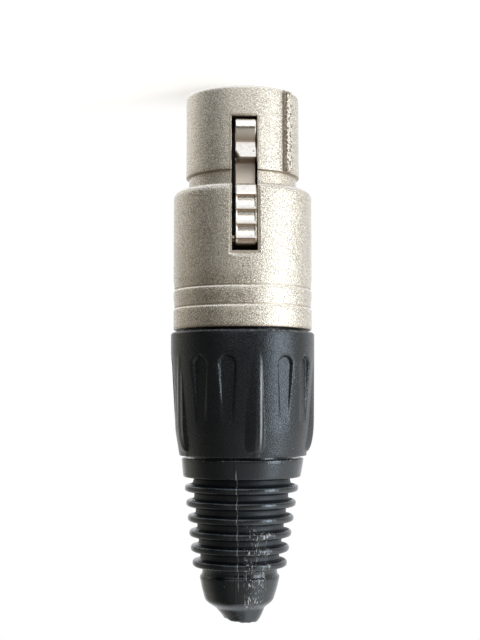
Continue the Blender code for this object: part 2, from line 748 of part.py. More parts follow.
def make_gland_nut(finish):
    """Moulded nut: threaded sleeve, closing cone, snap groove, five fins and ten thumb recesses."""
    straight = FIN_STRAIGHT - PANEL_START
    curve = FIN_LENGTH - FIN_STRAIGHT
    depths = [PANEL_START + straight * share for share in (0, 0.08, 0.25, 0.5, 0.75, 1)]
    depths += [FIN_STRAIGHT + curve * math.sin(math.radians(turn)) for turn in (22, 42, 60, 76, 90)]
    outside = [nut_section(0, NUT_EDGE), nut_section(NUT_EDGE * 0.3, NUT_EDGE * 0.3), nut_section(NUT_EDGE)]
    outside += [nut_section(depth) for depth in depths]
    outside.append(nut_section(NUT_LENGTH, NUT_TAIL_EDGE))
    cone_end_radius = jaw_end_radius + JAW_GAP
    inside = [
        (spigot_bore, nut_end), (spigot_bore, groove_z + SNAP_WIDTH + 2 * GAP),
        (groove_radius, groove_z + SNAP_WIDTH + 2 * GAP), (groove_radius, groove_z),
        (spigot_bore, groove_z), (spigot_bore, spigot_z - GAP), (cone_end_radius, spigot_z - GAP),
        (cone_end_radius, jaw_end), (sleeve_bore, jaw_cone_z), (sleeve_bore, sleeve_z),
        (sleeve_radius - SLEEVE_EDGE, sleeve_z), (sleeve_radius, sleeve_z + SLEEVE_EDGE),
        (sleeve_radius, nut_z),
    ]
    count = len(outside[0])
    start = FIN_ANGLE - math.degrees((FIN_CREST_WIDTH / 2 + FIN_WIDE_FLANK) / nut_radius)
    rings = [[point(radius, start + 360 * i / count, z) for i in range(count)] for radius, z in inside]
    nut = add_object("gland_nut", lofted(outside + rings), finish)
    floor = nut_radius - RECESS_DEPTH
    top_half = RECESS_TOP_WIDTH / 2
    end_half = RECESS_END_WIDTH / 2
    round_z = nut_z + RECESS_START + top_half
    end_z = nut_z + RECESS_START + RECESS_LENGTH
    outline = arc((0, round_z), top_half, 180, 360, 8)
    outline += [(end_half, end_z), (-end_half, end_z)]
    for k in range(FIN_COUNT):
        panel_angle = FIN_ANGLE + (k + 0.5) * 360 / FIN_COUNT
        for side in (-1, 1):
            angle = panel_angle + side * RECESS_ANGLE / 2
            turn = Matrix.Rotation(math.radians(-angle), 4, "Z")
            flat = [turn @ (Vector((across, 0, z)) * MM) for across, z in outline]
            out = turn @ Vector((0, -1, 0))
            tool = extruded(flat, out, floor, nut_radius + CUT_MARGIN)
            cut(nut, f"recess_cutter_{2 * k + (side + 1) // 2}", tool)
    return nut


def relief_outline():
    """Half section of the rubber bend relief: spigot, snap rib, collar, ribs and the trimmed tip."""
    snap_end = snap_z + SNAP_WIDTH
    snap_radius = groove_radius - GAP
    collar_foot_radius = relief_collar_radius - RELIEF_COLLAR_TAPER
    outline = [
        (cable_radius + SPIGOT_MOUTH, spigot_z), (spigot_radius - SPIGOT_EDGE, spigot_z),
        (spigot_radius, spigot_z + SPIGOT_EDGE), (spigot_radius, snap_z),
        (snap_radius, snap_z + SPIGOT_EDGE), (snap_radius, snap_end),
        (spigot_radius, snap_end), (spigot_radius, relief_collar_z),
        (relief_collar_radius - RELIEF_COLLAR_EDGE, relief_collar_z),
        (relief_collar_radius, relief_collar_z + RELIEF_COLLAR_EDGE),
        (collar_foot_radius, relief_collar_end - RELIEF_COLLAR_EDGE),
        (collar_foot_radius - RELIEF_COLLAR_EDGE, relief_collar_end),
    ]
    for i in range(RIB_COUNT):
        z = first_rib_z + i * RIB_PITCH
        radius = rib_radius - i * RIB_STEP
        root = radius - RIB_DEPTH + RIB_STEP / 2
        half = RIB_THICKNESS / 2
        outline += [
            (root, z - half - RIB_FLARE), (radius - RIB_ROUND, z - half), (radius, z - half + RIB_ROUND),
            (radius, z + half - RIB_ROUND), (radius - RIB_ROUND, z + half),
            (root - RIB_STEP, z + half + RIB_FLARE),
        ]
    barrel_end = tip_z + TIP_BARREL
    barrel_radius = tip_radius - TIP_BARREL_TAPER
    outline += [
        (tip_radius - TIP_GROOVE_DEPTH, tip_z - TIP_SETBACK / 2), (tip_radius - TIP_EDGE / 2, tip_z),
        (tip_radius, tip_z + TIP_EDGE), (barrel_radius, barrel_end),
        (barrel_radius - TIP_DOME_DROP, barrel_end + TIP_DOME_START),
        (tip_end_radius + TIP_CHAMFER, tip_end - TIP_CHAMFER), (tip_end_radius, tip_end),
        (TIP_HOLE, tip_end), (cable_radius, relief_collar_end),
    ]
    return outline


def make_bend_relief(finish):
    relief = add_object("bend_relief", turned(relief_outline(), RELIEF_FACETS), finish)
    reach = rib_radius
    bm = block((-reach, -reach, 0), (reach, reach, TIP_DOME))
    tilt = Matrix.Rotation(math.radians(TIP_CUT_TILT), 4, "Y")
    bmesh.ops.transform(bm, matrix=tilt, verts=bm.verts)
    bmesh.ops.translate(bm, verts=bm.verts, vec=Vector((0, 0, tip_end - TIP_CUT_LIFT)) * MM)
    cut(relief, "tip_trim_cutter", bm)
    return relief


def add_empty(name, place, parent=None):
    empty = bpy.data.objects.new(name, None)
    empty.empty_display_size = BODY_RADIUS * MM
    bpy.context.scene.collection.objects.link(empty)
    empty.location = place
    empty.parent = parent
    return empty


def carry(empty, pieces):
    """Parent pieces to an empty, each staying where it is."""
    for piece in pieces:
        piece.parent = empty
        piece.location -= empty.location


def main():
    for item in list(bpy.data.objects):
        bpy.data.objects.remove(item, do_unlink=True)
    nickel = material("satin_nickel", (0.55, 0.52, 0.47), 0.42, 1.0)
    bright = material("bright_nickel", (0.66, 0.63, 0.60), 0.22, 1.0)
    steel = material("spring_steel", (0.50, 0.50, 0.50), 0.30, 1.0)
    silver = material("plated_contact", (0.80, 0.78, 0.74), 0.25, 1.0)
    black = material("black_insulator", (0.02, 0.02, 0.022), 0.5)
    clamp = material("chuck_plastic", (0.04, 0.04, 0.045), 0.45)
    nut_black = material("nut_plastic", (0.022, 0.025, 0.03), 0.45)
    rubber = material("relief_rubber", (0.015, 0.017, 0.02), 0.35)

    fixed = [make_housing(nickel), make_insert_front(black), make_insert_rear(black), make_ground_leaf(steel)]
    fixed += [make_contact(name, angle, silver) for name, angle in contact_places().items()]
    fixed += [make_spring(steel), make_chuck(clamp)]
    latch = make_latch(bright)
    nut = make_gland_nut(nut_black)
    relief = make_bend_relief(rubber)

    base = add_empty("plug", Vector((0, 0, 0)))
    carry(base, fixed)
    latch_pivot = add_empty("latch_pivot", latch.location.copy(), base)
    carry(latch_pivot, [latch, bpy.data.objects["trunnion_form"]])
    gland_slide = add_empty("gland_slide", Vector((0, 0, 0)), base)
    carry(gland_slide, [relief])
    nut_turn = add_empty("nut_turn", Vector((0, 0, 0)), gland_slide)
    carry(nut_turn, [nut])


main()
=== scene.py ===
"""Looks of a female three-pole audio cable plug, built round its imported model.

The plug stands on its nose, +Z runs to the cable end and the latch looks to -Y.
Lengths are in millimetres. Angles round the plug are measured from the latch towards -X.
"""
import math

import bmesh
import bpy
from mathutils import Matrix, Vector


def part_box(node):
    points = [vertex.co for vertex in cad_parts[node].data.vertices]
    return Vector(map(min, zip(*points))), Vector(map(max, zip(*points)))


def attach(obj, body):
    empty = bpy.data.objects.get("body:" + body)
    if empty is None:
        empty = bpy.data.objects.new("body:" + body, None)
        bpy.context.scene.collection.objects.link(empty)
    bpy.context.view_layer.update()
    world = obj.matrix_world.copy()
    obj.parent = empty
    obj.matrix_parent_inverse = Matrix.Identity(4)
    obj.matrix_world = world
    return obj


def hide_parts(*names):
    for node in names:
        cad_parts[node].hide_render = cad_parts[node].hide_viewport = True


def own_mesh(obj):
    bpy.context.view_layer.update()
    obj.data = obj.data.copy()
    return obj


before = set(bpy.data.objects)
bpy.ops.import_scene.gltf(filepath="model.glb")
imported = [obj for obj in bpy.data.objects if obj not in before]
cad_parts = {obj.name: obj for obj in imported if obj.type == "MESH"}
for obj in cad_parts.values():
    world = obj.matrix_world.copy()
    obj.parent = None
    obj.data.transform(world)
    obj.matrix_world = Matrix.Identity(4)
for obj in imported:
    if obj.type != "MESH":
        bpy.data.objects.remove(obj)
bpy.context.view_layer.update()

MM = 0.001

# Places read from the frame
shell_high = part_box("housing")[1] / MM
chuck_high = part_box("chuck")[1] / MM
latch_low, latch_high = (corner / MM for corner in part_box("latch"))
nut_low, nut_high = (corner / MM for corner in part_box("gland_nut"))
relief_low, relief_high = (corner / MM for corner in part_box("bend_relief"))
spring_low, spring_high = (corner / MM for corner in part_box("latch_spring"))
SHELL_END = shell_high.z
BODY_RADIUS = shell_high.x
LATCH_TIP = latch_low.z
LATCH_REAR = latch_high.z
TOOTH_TOP = -latch_low.y
LATCH_UNDER = -latch_high.y
TRUNNION_END = latch_high.x
SLEEVE_START = nut_low.z
NUT_END = nut_high.z
SPIGOT_START = relief_low.z
JAW_END = chuck_high.z

# Shell
NOSE_RADIUS = 7.9
NOSE_BORE = 6.75
NOSE_END = 11.5
NECK_RADIUS = 7.5
NECK_END = 13.45
NECK_FILLET = 0.06
NOSE_BREAK = 0.1
BODY_BORE = 8.1
STOP = 13.6
SHOULDER_LENGTH = 1.05
SHOULDER_DROP = 0.95
SHOULDER_TURN = (15.0, 90.0)
RIM_ROUND = 0.55
SHELL_EDGE = 0.25
BAND_STEPS = (SHELL_END - 5.5, SHELL_END - 2.95)
BAND_DEPTH = 0.15
BAND_TAPER = 1.5
BAND_FOOT = 0.03
BAND_RISE = 0.17
SLOT_HALF = 1.7
SLOT_FRONT_GAP = 0.3
SLOT_REAR_GAP = 0.5
SLOT_FRONT = LATCH_TIP - SLOT_FRONT_GAP
SLOT_REAR = LATCH_REAR + SLOT_REAR_GAP
SLOT_EDGE = 0.07
SLOT_EDGE_WIDTH = 0.08
SLOT_MID = (SLOT_FRONT + SLOT_REAR) / 2
SLOT_LENGTH = SLOT_REAR - SLOT_FRONT
POCKET_FLOOR = 9.25
POCKET_HALF = 2.0
POCKET_END = 23.05
POCKET_BOW = 0.3
POCKET_EDGE = 0.24
POCKET_SIDE_SLOPE = 1.2
POCKET_SECTOR = 60.0
NEAR_SLOT = 2.6
KEY_ANGLE = 46.6
KEY_HALF = 0.575
KEY_HEIGHT = 0.7
KEY_START = 0.35
KEY_FLANK = 0.1
KEY_RAMP = 0.12
SEAT_RADIUS = 0.9
PIVOT_HEIGHT = 7.6
PIVOT_SETBACK = 1.2
PIVOT_Z = LATCH_REAR - PIVOT_SETBACK

# Latch
LATCH_HALF = 1.4
TIP_ROUND = 0.75
TIP_FLAT = 1.1
CREST_HEIGHT = 7.95
DIP_Z = LATCH_TIP + 3.3
DIP_HEIGHT = 7.35
RAMP_Z = DIP_Z - 0.1
HOOK_Z = LATCH_TIP + 5.45
HOOK_HEIGHT = 8.75
HOOK_CUT_SETBACK = 1.1
HOOK_CUT_SLANT = (0.85, 0.53)
HOOK_CUT_DROP = 2.6
NECK_HEIGHT = 7.2
NECK_RISE = 0.04
PAD_Z = LATCH_TIP + 9.1
PAD_FRONT_HEIGHT = 9.25
PAD_LEAD = 0.25
PAD_REAR_DROP = 1.9
PAD_REAR_SINK = 0.12
FIRST_CREST = PAD_Z + 1.51
TOOTH_PITCH = 1.96
TOOTH_COUNT = 4
TOOTH_DEPTH = 0.4
TOOTH_STEEP = 0.2
TOOTH_SIDE = 0.35
TOOTH_BLEND = 0.22
LATCH_CHAMFER = 0.12
LATCH_TOE = 0.3
LATCH_HEEL = 0.6
LATCH_SHIFT = -0.17
TRUNNION_RADIUS = 0.6
TRUNNION_BREAK = 0.1
SPOT_X = -1.2
SPOT_Z = HOOK_Z - 0.85

# Gland nut
NUT_FRONT = SHELL_END + 0.3
NUT_LENGTH = NUT_END - NUT_FRONT
NUT_RADIUS = 9.93
NUT_FRONT_ROUND = 0.4
NUT_TAIL_ROUND = 0.15
SLEEVE_RADIUS = 7.75
SLEEVE_BORE = 6.5
SLEEVE_EDGE = 0.3
THREAD_PITCH = 0.75
THREAD_STARTS = 2
THREAD_HEIGHT = 0.22
THREAD_FULL = 1.35
THREAD_SLOPE = 5.0
THREAD_LEAD_IN = 0.6
THREAD_STOP = 0.7
THREAD_RUNOUT = 0.5
PANEL_START = 2.8
PANEL_MID = 13.5
PANEL_DROP = 0.67
PANEL_TAIL_DROP = 1.23
FIN_COUNT = 5
FIN_PITCH = 360 / FIN_COUNT
FIN_ANGLE = 10.2
FIN_HALF_CREST = 0.25
FIN_WIDE_FLANK = 1.5
FIN_WIDE_EDGE = 0.08
FIN_STEEP_FLANK = 0.65
FIN_STEEP_EDGE = 0.2
FIN_DROP = 0.08
# Turn of the painted highlight line from each fin's middle
CREST_HIGHLIGHT_TURN = 2.7
FIN_STRAIGHT = 11.5
FIN_LENGTH = 16.3
GRIP_ANGLE = 24.0
GRIP_START = 3.5
GRIP_LENGTH = 8.9
GRIP_TOP_HALF = 1.15
GRIP_END_HALF = 0.675
GRIP_DEPTH = 0.63
GRIP_EDGE = 0.22
GRIP_LINE = 0.05
GRIP_LINE_OFF = 0.1
GRIP_LINE_WIDTH = 0.15
CONE_START = NUT_FRONT - 1.0
CONE_END_RADIUS = 5.5
SPIGOT_BORE = 7.2
GROOVE_RADIUS = 7.6
GROOVE = (NUT_FRONT + 7.9, NUT_FRONT + 9.6)

# Bend relief
SPIGOT_RADIUS = 6.9
SPIGOT_EDGE = 0.3
SPIGOT_GAP = 0.3
SNAP_START = GROOVE[0] + 0.3
SNAP_LENGTH = 1.1
SNAP_EDGE = 0.3
CABLE_RADIUS = 3.5
COLLAR_GAP = 0.3
COLLAR_LENGTH = 2.6
COLLAR_START = NUT_END + COLLAR_GAP
COLLAR_END = COLLAR_START + COLLAR_LENGTH
COLLAR_RADIUS = 8.4
COLLAR_EDGE = 0.2
COLLAR_FOOT_RADIUS = 8.1
COLLAR_FOOT_ROUND = 0.25
RIB_COUNT = 6
FIRST_RIB = COLLAR_END + 1.5
RIB_PITCH = 2.03
RIB_RADIUS = 7.8
RIB_STEP = 0.266
RIB_HALF = 0.475
RIB_ROUND = 0.4
RIB_DEPTH = 1.2
RIB_FLARE = 0.3
LAST_RIB = FIRST_RIB + (RIB_COUNT - 1) * RIB_PITCH
TIP_START = LAST_RIB + RIB_HALF + 1.25
TIP_RADIUS = RIB_RADIUS - (RIB_COUNT - 1) * RIB_STEP - 1.02
BARREL_LENGTH = 3.0
BARREL_TAPER = 0.7
TIP_HOLE = 1.65
TIP_END = TIP_START + 6.3
LEAN = 0.46
TIP_BEND = 0.38
BEND_START = TIP_START + BARREL_LENGTH + 0.4
BEND_LENGTH = 2.4
CUT_SETBACK = 0.25
CUT_TILT = 3.0
NOTCH_ANGLE = -68.0
NOTCH_WIDTH = 16.0
NOTCH_DEPTH = 0.45
SEAM_ANGLE = -7.9
SEAM_HEIGHT = 0.03
SEAM_WIDTH = 0.6
SCUFF_START = -2.0
SCUFF_END = 40.0

# Spring
SPRING_Z = (spring_low.z + spring_high.z) / 2
SPRING_RADIUS = 0.95
SPRING_WIRE = 0.15
SPRING_TURNS = 4

# Colours
NICKEL = (0.72, 0.69, 0.635)
# Brown for the shell's dust and for its painted shade and shadow
NICKEL_DUST_AND_SHADE = (0.36, 0.3, 0.225)
NICKEL_PIT = (0.2, 0.165, 0.13)
# Paler plating for the shell's painted highlights
NICKEL_HIGHLIGHT = (0.95, 0.93, 0.89)
LATCH_NICKEL = (0.94, 0.92, 0.89)
# Brown for the latch's film and for its painted shade
LATCH_FILM_AND_SHADE = (0.47, 0.38, 0.31)
LATCH_SPOT = (0.3, 0.12, 0.07)
PLASTIC = (0.0042, 0.0054, 0.0086)
# Pale grey for the painted highlight on the nut's fin crests
PLASTIC_HIGHLIGHT = (0.34, 0.35, 0.37)
GLOSS_TINT = (0.76, 0.88, 1.0, 1.0)
RUBBER = (0.0054, 0.0072, 0.0112)
DUST = (0.55, 0.56, 0.57)
STEEL = (0.62, 0.61, 0.59)
PLATING = (0.84, 0.8, 0.7)
PLATING_FILM = (0.75, 0.62, 0.42)
INSULATOR = (0.016, 0.017, 0.019)
CHUCK = (0.7, 0.7, 0.66)
CHUCK_FLOW = (0.78, 0.78, 0.75)
FLOOR_COLOUR = (0.9, 0.9, 0.9)

# Spread that brings Blender's noise to about -1 to 1
NOISE_SPREAD = 2.6

# Studio
LAMP_COLOUR = (0.93, 0.97, 1.0)
LAMP_AIM = 35.0
FLOOR_RADIUS = 80.0
FLOOR_LIFT = 0.54
WALL_STRENGTH = 2.0
WALL_RADIUS = 150.0
WALL_CENTRE = 20.0
WALL_SPAN = (-145.0, 120.0)
WALL_RISE = (-38.0, 80.0)
WALL_TURN = (-14.0, -10.0)
WALL_DIM = (8.0, 26.0)
WALL_WARM = (1.0, 0.9, 0.71)

# Brightness of the wall low down, in the middle and high up, as (angle, level)
WALL_LOW = (
    (-145, 1.4), (-112, 1.1), (-96, 0.2), (-84, 0.0), (-54, 0.0), (-25, 1.05), (0, 1.7),
    (14, 1.4), (32, 0.8), (50, 0.9), (85, 1.0), (120, 1.0),
)
WALL_MIDDLE = (
    (-145, 0.5), (-115, 0.48), (-98, 0.28), (-80, 0.12), (-50, 0.08), (-20, 0.18), (0, 0.04),
    (14, 0.0), (32, 0.2), (50, 0.55), (85, 0.55), (120, 0.75),
)
WALL_HIGH = (
    (-145, 0.6), (-115, 0.6), (-98, 0.35), (-80, 0.13), (-50, 0.12), (-20, 0.3), (0, 0.42),
    (14, 0.5), (32, 0.7), (50, 1.6), (85, 1.3), (120, 1.0),
)

# Camera
CAMERA_LENS = 66.94
CAMERA_ANGLE = -1.6
CAMERA_DISTANCE = 165.0
CAMERA_HEIGHT = 42.7
CAMERA_TILT = 3.99
CAMERA_OFFSET = 0.36


def smooth(value):
    """A soft step from 0 to 1."""
    share = min(1.0, max(0.0, value))
    return share * share * (3 - 2 * share)


def around(radius, angle, z):
    """A place at a radius and an angle round the plug, in millimetres."""
    turn = math.radians(angle)
    return Vector((-radius * math.sin(turn), -radius * math.cos(turn), z))


def arc(centre, radius, start, end, steps):
    """Points of a circular arc, from a start angle to an end angle, both kept."""
    turns = [math.radians(start + (end - start) * i / steps) for i in range(steps + 1)]
    return [(centre[0] + radius * math.cos(t), centre[1] + radius * math.sin(t)) for t in turns]


def refined(profile, longest, stops=()):
    """Split the stretches of a (z, radius) profile that are too long, and split it at each stop."""
    made = [profile[0]]
    for (z0, r0), (z1, r1) in zip(profile, profile[1:]):
        count = max(1, math.ceil(abs(z1 - z0) / longest))
        places = {z0 + (z1 - z0) * i / count for i in range(1, count + 1)}
        places |= {stop for stop in stops if z0 < stop < z1}
        for z in sorted(places, reverse=z1 < z0):
            share = (z - z0) / (z1 - z0) if z1 != z0 else 1.0
            made.append((z, r0 + (r1 - r0) * share))
    return made


def dress(finish, *names):
    """Give the model's own solids a material."""
    for name in names:
        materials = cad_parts[name].data.materials
        materials.clear()
        materials.append(finish)


def link_mesh(name, mesh, finish):
    """Give a mesh its material and put it into the scene."""
    mesh.materials.append(finish)
    piece = bpy.data.objects.new(name, mesh)
    bpy.context.scene.collection.objects.link(piece)
    return piece


def make_piece(name, vertices, faces, body, finish, sharp=35.0):
    """Make a mesh from places in millimetres, and let it ride on a body."""
    mesh = bpy.data.meshes.new(name)
    mesh.from_pydata([place * MM for place in vertices], [], faces)
    bm = bmesh.new()
    bm.from_mesh(mesh)
    bmesh.ops.remove_doubles(bm, verts=bm.verts, dist=0.0005 * MM)
    bmesh.ops.recalc_face_normals(bm, faces=bm.faces)
    bm.to_mesh(mesh)
    bm.free()
    mesh.shade_smooth()
    mesh.set_sharp_from_angle(angle=math.radians(sharp))
    piece = link_mesh(name, mesh, finish)
    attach(piece, body)
    return piece


def ring_faces(count, rows, first=0, closed=False):
    """Quads between rings of vertices that follow one another."""
    faces = []
    for i in range(rows if closed else rows - 1):
        here = first + i * count
        there = first + (i + 1) % rows * count
        faces += [(here + j - 1 if j else here + count - 1, here + j, there + j,
                   there + j - 1 if j else there + count - 1) for j in range(count)]
    return faces


def shell_profile():
    """The shell's outside as (z, radius), from its rim to its rear edge."""
    profile = arc((RIM_ROUND, NOSE_RADIUS - RIM_ROUND), RIM_ROUND, 180, 90, 6)
    profile += [
        (NOSE_END - NOSE_BREAK, NOSE_RADIUS), (NOSE_END - 0.4 * NOSE_BREAK, NOSE_RADIUS - 0.2 * NOSE_BREAK),
        (NOSE_END, NOSE_RADIUS - 0.8 * NOSE_BREAK), (NOSE_END + 0.01, NECK_RADIUS + 0.05),
        (NOSE_END + NECK_FILLET, NECK_RADIUS), (NECK_END - NECK_FILLET, NECK_RADIUS),
        (NECK_END, NECK_RADIUS + NECK_FILLET),
    ]
    for along, rise in arc((0, 0), 1.0, *SHOULDER_TURN, 12):
        profile.append((NECK_END + SHOULDER_LENGTH * (1 - along), BODY_RADIUS - SHOULDER_DROP * (1 - rise)))
    low = BODY_RADIUS - BAND_DEPTH
    for step_z in BAND_STEPS:
        profile += [
            (step_z - BAND_TAPER, BODY_RADIUS), (step_z - BAND_FOOT, low), (step_z + 0.02, low),
            (step_z + BAND_RISE, BODY_RADIUS - 0.02), (step_z + BAND_RISE + 0.06, BODY_RADIUS),
        ]
    profile += arc((SHELL_END - SHELL_EDGE, BODY_RADIUS - SHELL_EDGE), SHELL_EDGE, 90, 0, 4)
    return profile


def shell_bore(z):
    """Radius of the shell's bore, which widens behind the stop and at both ends."""
    if z < SHELL_EDGE:
        return NOSE_BORE + SHELL_EDGE - z
    if z <= STOP:
        return NOSE_BORE
    return BODY_BORE + max(0.0, z - (SHELL_END - SHELL_EDGE))


def shell_column(column, radius):
    """Angle of a column at a radius. Near the slot a column keeps its distance from the middle plane."""
    edge = math.degrees(math.asin(NEAR_SLOT / NOSE_RADIUS))
    if abs(column) <= edge:
        return math.degrees(math.asin(NOSE_RADIUS * math.sin(math.radians(column)) / radius))
    here = math.degrees(math.asin(NEAR_SLOT / radius))
    return math.copysign(here + (abs(column) - edge) * (180 - here) / (180 - edge), column)


def shell_outside(z, radius, column):
    """A place on the outside, with the key rib, the pocket round the slot and the slot's broken edge."""
    angle = shell_column(column, radius)
    off_key = abs(math.radians(column - KEY_ANGLE)) * NOSE_RADIUS
    if off_key < 2 * KEY_HALF:
        ends = smooth((z - KEY_START) / KEY_RAMP) * smooth((NOSE_END + 0.01 - z) / (KEY_RAMP / 2))
        radius += KEY_HEIGHT * smooth((KEY_HALF + KEY_FLANK / 4 - off_key) / KEY_FLANK) * ends
    across = radius * math.sin(math.radians(angle))
    height = radius * math.cos(math.radians(angle))
    if abs(column) < POCKET_SECTOR:
        floor = POCKET_FLOOR + max(0.0, abs(across) - POCKET_HALF) * POCKET_SIDE_SLOPE
        end = POCKET_END + POCKET_BOW * (1 - (across / POCKET_HALF) ** 2)
        if z > NECK_END and height > floor:
            height -= (height - floor) * smooth((end - z) / POCKET_EDGE + 0.5)
        beside = max(0.0, abs(across) - SLOT_HALF)
        beyond = max(0.0, SLOT_FRONT - z, z - SLOT_REAR)
        height -= SLOT_EDGE * max(0.0, 1 - math.hypot(beside, beyond) / SLOT_EDGE_WIDTH) ** 2
    return Vector((-across, -height, z))


def shell_inside(z, column):
    """A place on the bore, with the two seats for the latch's trunnions."""
    radius = shell_bore(z)
    angle = math.radians(shell_column(column, radius))
    across, height = radius * math.sin(angle), radius * math.cos(angle)
    away = abs(z - PIVOT_Z)
    if away < SEAT_RADIUS and abs(across) < TRUNNION_END + 0.3 and height > 0:
        height = max(height, PIVOT_HEIGHT + math.sqrt(SEAT_RADIUS ** 2 - away ** 2))
    return Vector((-across, -height, z))


def shell_columns(near):
    """Angles of the shell's columns, close together near the slot and at the key rib."""
    steps = 94
    far = [near[-1] + (180 - near[-1]) * i / steps for i in range(1, steps + 1)]
    offsets = [0.0, 0.15, 0.3, 0.45, 0.5, 0.53, 0.56, 0.6, 0.64, 0.75]
    rib = [KEY_ANGLE + side * math.degrees(offset / NOSE_RADIUS) for offset in offsets for side in (-1, 1)]
    clear = math.degrees((offsets[-1] + 0.05) / NOSE_RADIUS)
    return sorted({0.0, *near, *[-angle for angle in near], *[-angle for angle in far[:-1]], *rib,
                   *[angle for angle in far if abs(angle - KEY_ANGLE) > clear]})


def shell_rows():
    """The shell's profile, split where the slot, the key rib, the pocket and the trunnions' seats need it."""
    stops = {SLOT_FRONT, SLOT_REAR, SHELL_EDGE, STOP, STOP + 0.01, SHELL_END - SHELL_EDGE}
    for step in (0.02, 0.04, SLOT_EDGE_WIDTH):
        stops |= {SLOT_FRONT - step, SLOT_REAR + step}
    stops |= {KEY_START + KEY_RAMP * step / 4 for step in range(5)}
    stops |= {POCKET_END - 0.16 + 0.05 * step for step in range(14)}
    stops |= {PIVOT_Z + SEAT_RADIUS * math.sin(math.radians(turn)) for turn in range(-90, 91, 15)}
    return refined(shell_profile(), 0.5, stops)


def make_shell(finish):
    """Die-cast shell: grids for its outside and its bore, joined at the ends and round the slot."""
    beside = [0.6, 1.2, SLOT_HALF, 1.73, 1.78, 1.9, 2.0, 2.05, 2.1, 2.2, 2.4, NEAR_SLOT]
    near = [math.degrees(math.asin(x / NOSE_RADIUS)) for x in beside]
    slot_side = near[beside.index(SLOT_HALF)]
    columns, rows = shell_columns(near), shell_rows()
    outside = [shell_outside(z, radius, column) for z, radius in rows for column in columns]
    inside = [shell_inside(z, column) for z, radius in rows for column in columns]
    count, length = len(columns), len(rows)
    low_column, high_column = columns.index(-slot_side), columns.index(slot_side)
    heights = [z for z, radius in rows]
    front, rear = heights.index(SLOT_FRONT), heights.index(SLOT_REAR)
    base = len(outside)
    faces = []
    for i in range(length - 1):
        for j in range(count):
            if front <= i < rear and low_column <= j < high_column:
                continue
            here, beyond = i * count + j, i * count + (j + 1) % count
            corners = (here, beyond, beyond + count, here + count)
            faces += [corners, tuple(base + corner for corner in reversed(corners))]
    last = (length - 1) * count
    for j in range(count):
        beyond = (j + 1) % count
        faces.append((beyond, j, base + j, base + beyond))
        faces.append((last + j, last + beyond, base + last + beyond, base + last + j))
    for i in range(front, rear):
        for j in (low_column, high_column):
            here, there = i * count + j, (i + 1) * count + j
            faces.append((here, there, base + there, base + here))
    for j in range(low_column, high_column):
        for i in (front, rear):
            here = i * count + j
            faces.append((here, here + 1, base + here + 1, base + here))
    shell = make_piece("shell_casting", outside + inside, faces, "shell", finish)
    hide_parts("housing")
    return shell


def pad_height(z, scooped):
    """Height of the thumb pad: a lead-in, four teeth with scooped valleys, and a rounded rear."""
    last_crest = FIRST_CREST + (TOOTH_COUNT - 1) * TOOTH_PITCH
    lead_end = PAD_Z + PAD_LEAD
    if z <= lead_end:
        return PAD_FRONT_HEIGHT - 0.2 + (z - PAD_Z)
    if z <= FIRST_CREST:
        rise = (z - lead_end) / (FIRST_CREST - lead_end)
        return TOOTH_TOP - TOOTH_DEPTH * (1 - rise) ** 1.1
    if z >= last_crest:
        share = min(1.0, (z - last_crest) / (LATCH_REAR - last_crest))
        drop = PAD_REAR_DROP * (1 - math.sqrt(1 - share ** 2.1))
        return TOOTH_TOP - drop - PAD_REAR_SINK * smooth(share * 4) * scooped
    phase = (z - FIRST_CREST) / TOOTH_PITCH % 1
    if phase < TOOTH_STEEP:
        drop = smooth(phase / TOOTH_STEEP)
    else:
        drop = math.cos(math.pi / 2 * ((phase - TOOTH_STEEP) / (1 - TOOTH_STEEP)) ** 2.2)
    return TOOTH_TOP - TOOTH_DEPTH * (TOOTH_SIDE + (1 - TOOTH_SIDE) * scooped) * drop


def latch_profile(scooped):
    """The latch's side outline as (z, height): tip, dip, hook ramp, neck, pad, and back below."""
    profile = arc((LATCH_TIP + TIP_ROUND, CREST_HEIGHT - TIP_ROUND), TIP_ROUND, 180, 90, 8)
    steps = 14
    start, fall = LATCH_TIP + TIP_FLAT, CREST_HEIGHT - DIP_HEIGHT
    profile += [(start + (RAMP_Z - start) * i / steps, CREST_HEIGHT - fall * smooth(i / steps))
                for i in range(steps + 1)]
    profile += [(RAMP_Z + (HOOK_Z - RAMP_Z) * i / steps, DIP_HEIGHT + (HOOK_HEIGHT - DIP_HEIGHT) * i / steps)
                for i in range(1, steps)]
    profile += [
        (HOOK_Z - 0.05, HOOK_HEIGHT - 0.02), (HOOK_Z, HOOK_HEIGHT), (HOOK_Z + 0.05, HOOK_HEIGHT - 0.04),
        (HOOK_Z + 0.1, HOOK_HEIGHT - 0.16), (HOOK_Z + 0.42, NECK_HEIGHT + 0.5),
        (HOOK_Z + 0.58, NECK_HEIGHT + 0.16), (HOOK_Z + 0.68, NECK_HEIGHT + 0.03),
        (HOOK_Z + 0.75, NECK_HEIGHT), (PAD_Z - 0.2, NECK_HEIGHT + NECK_RISE),
        (PAD_Z - 0.05, NECK_HEIGHT + NECK_RISE + 0.06), (PAD_Z, NECK_HEIGHT + NECK_RISE + 0.25),
        (PAD_Z, PAD_FRONT_HEIGHT - 0.3),
    ]
    span = LATCH_REAR - PAD_Z
    steps = 150
    profile += [(PAD_Z + span * i / steps, pad_height(PAD_Z + span * i / steps, scooped))
                for i in range(1, steps)]
    profile += [
        (LATCH_REAR, PIVOT_HEIGHT), (LATCH_REAR, LATCH_UNDER + LATCH_HEEL),
        (LATCH_REAR - LATCH_HEEL / 3, LATCH_UNDER + LATCH_HEEL / 3), (LATCH_REAR - LATCH_HEEL, LATCH_UNDER),
        (LATCH_TIP + LATCH_TOE, LATCH_UNDER), (LATCH_TIP, LATCH_UNDER + LATCH_TOE),
    ]
    return profile


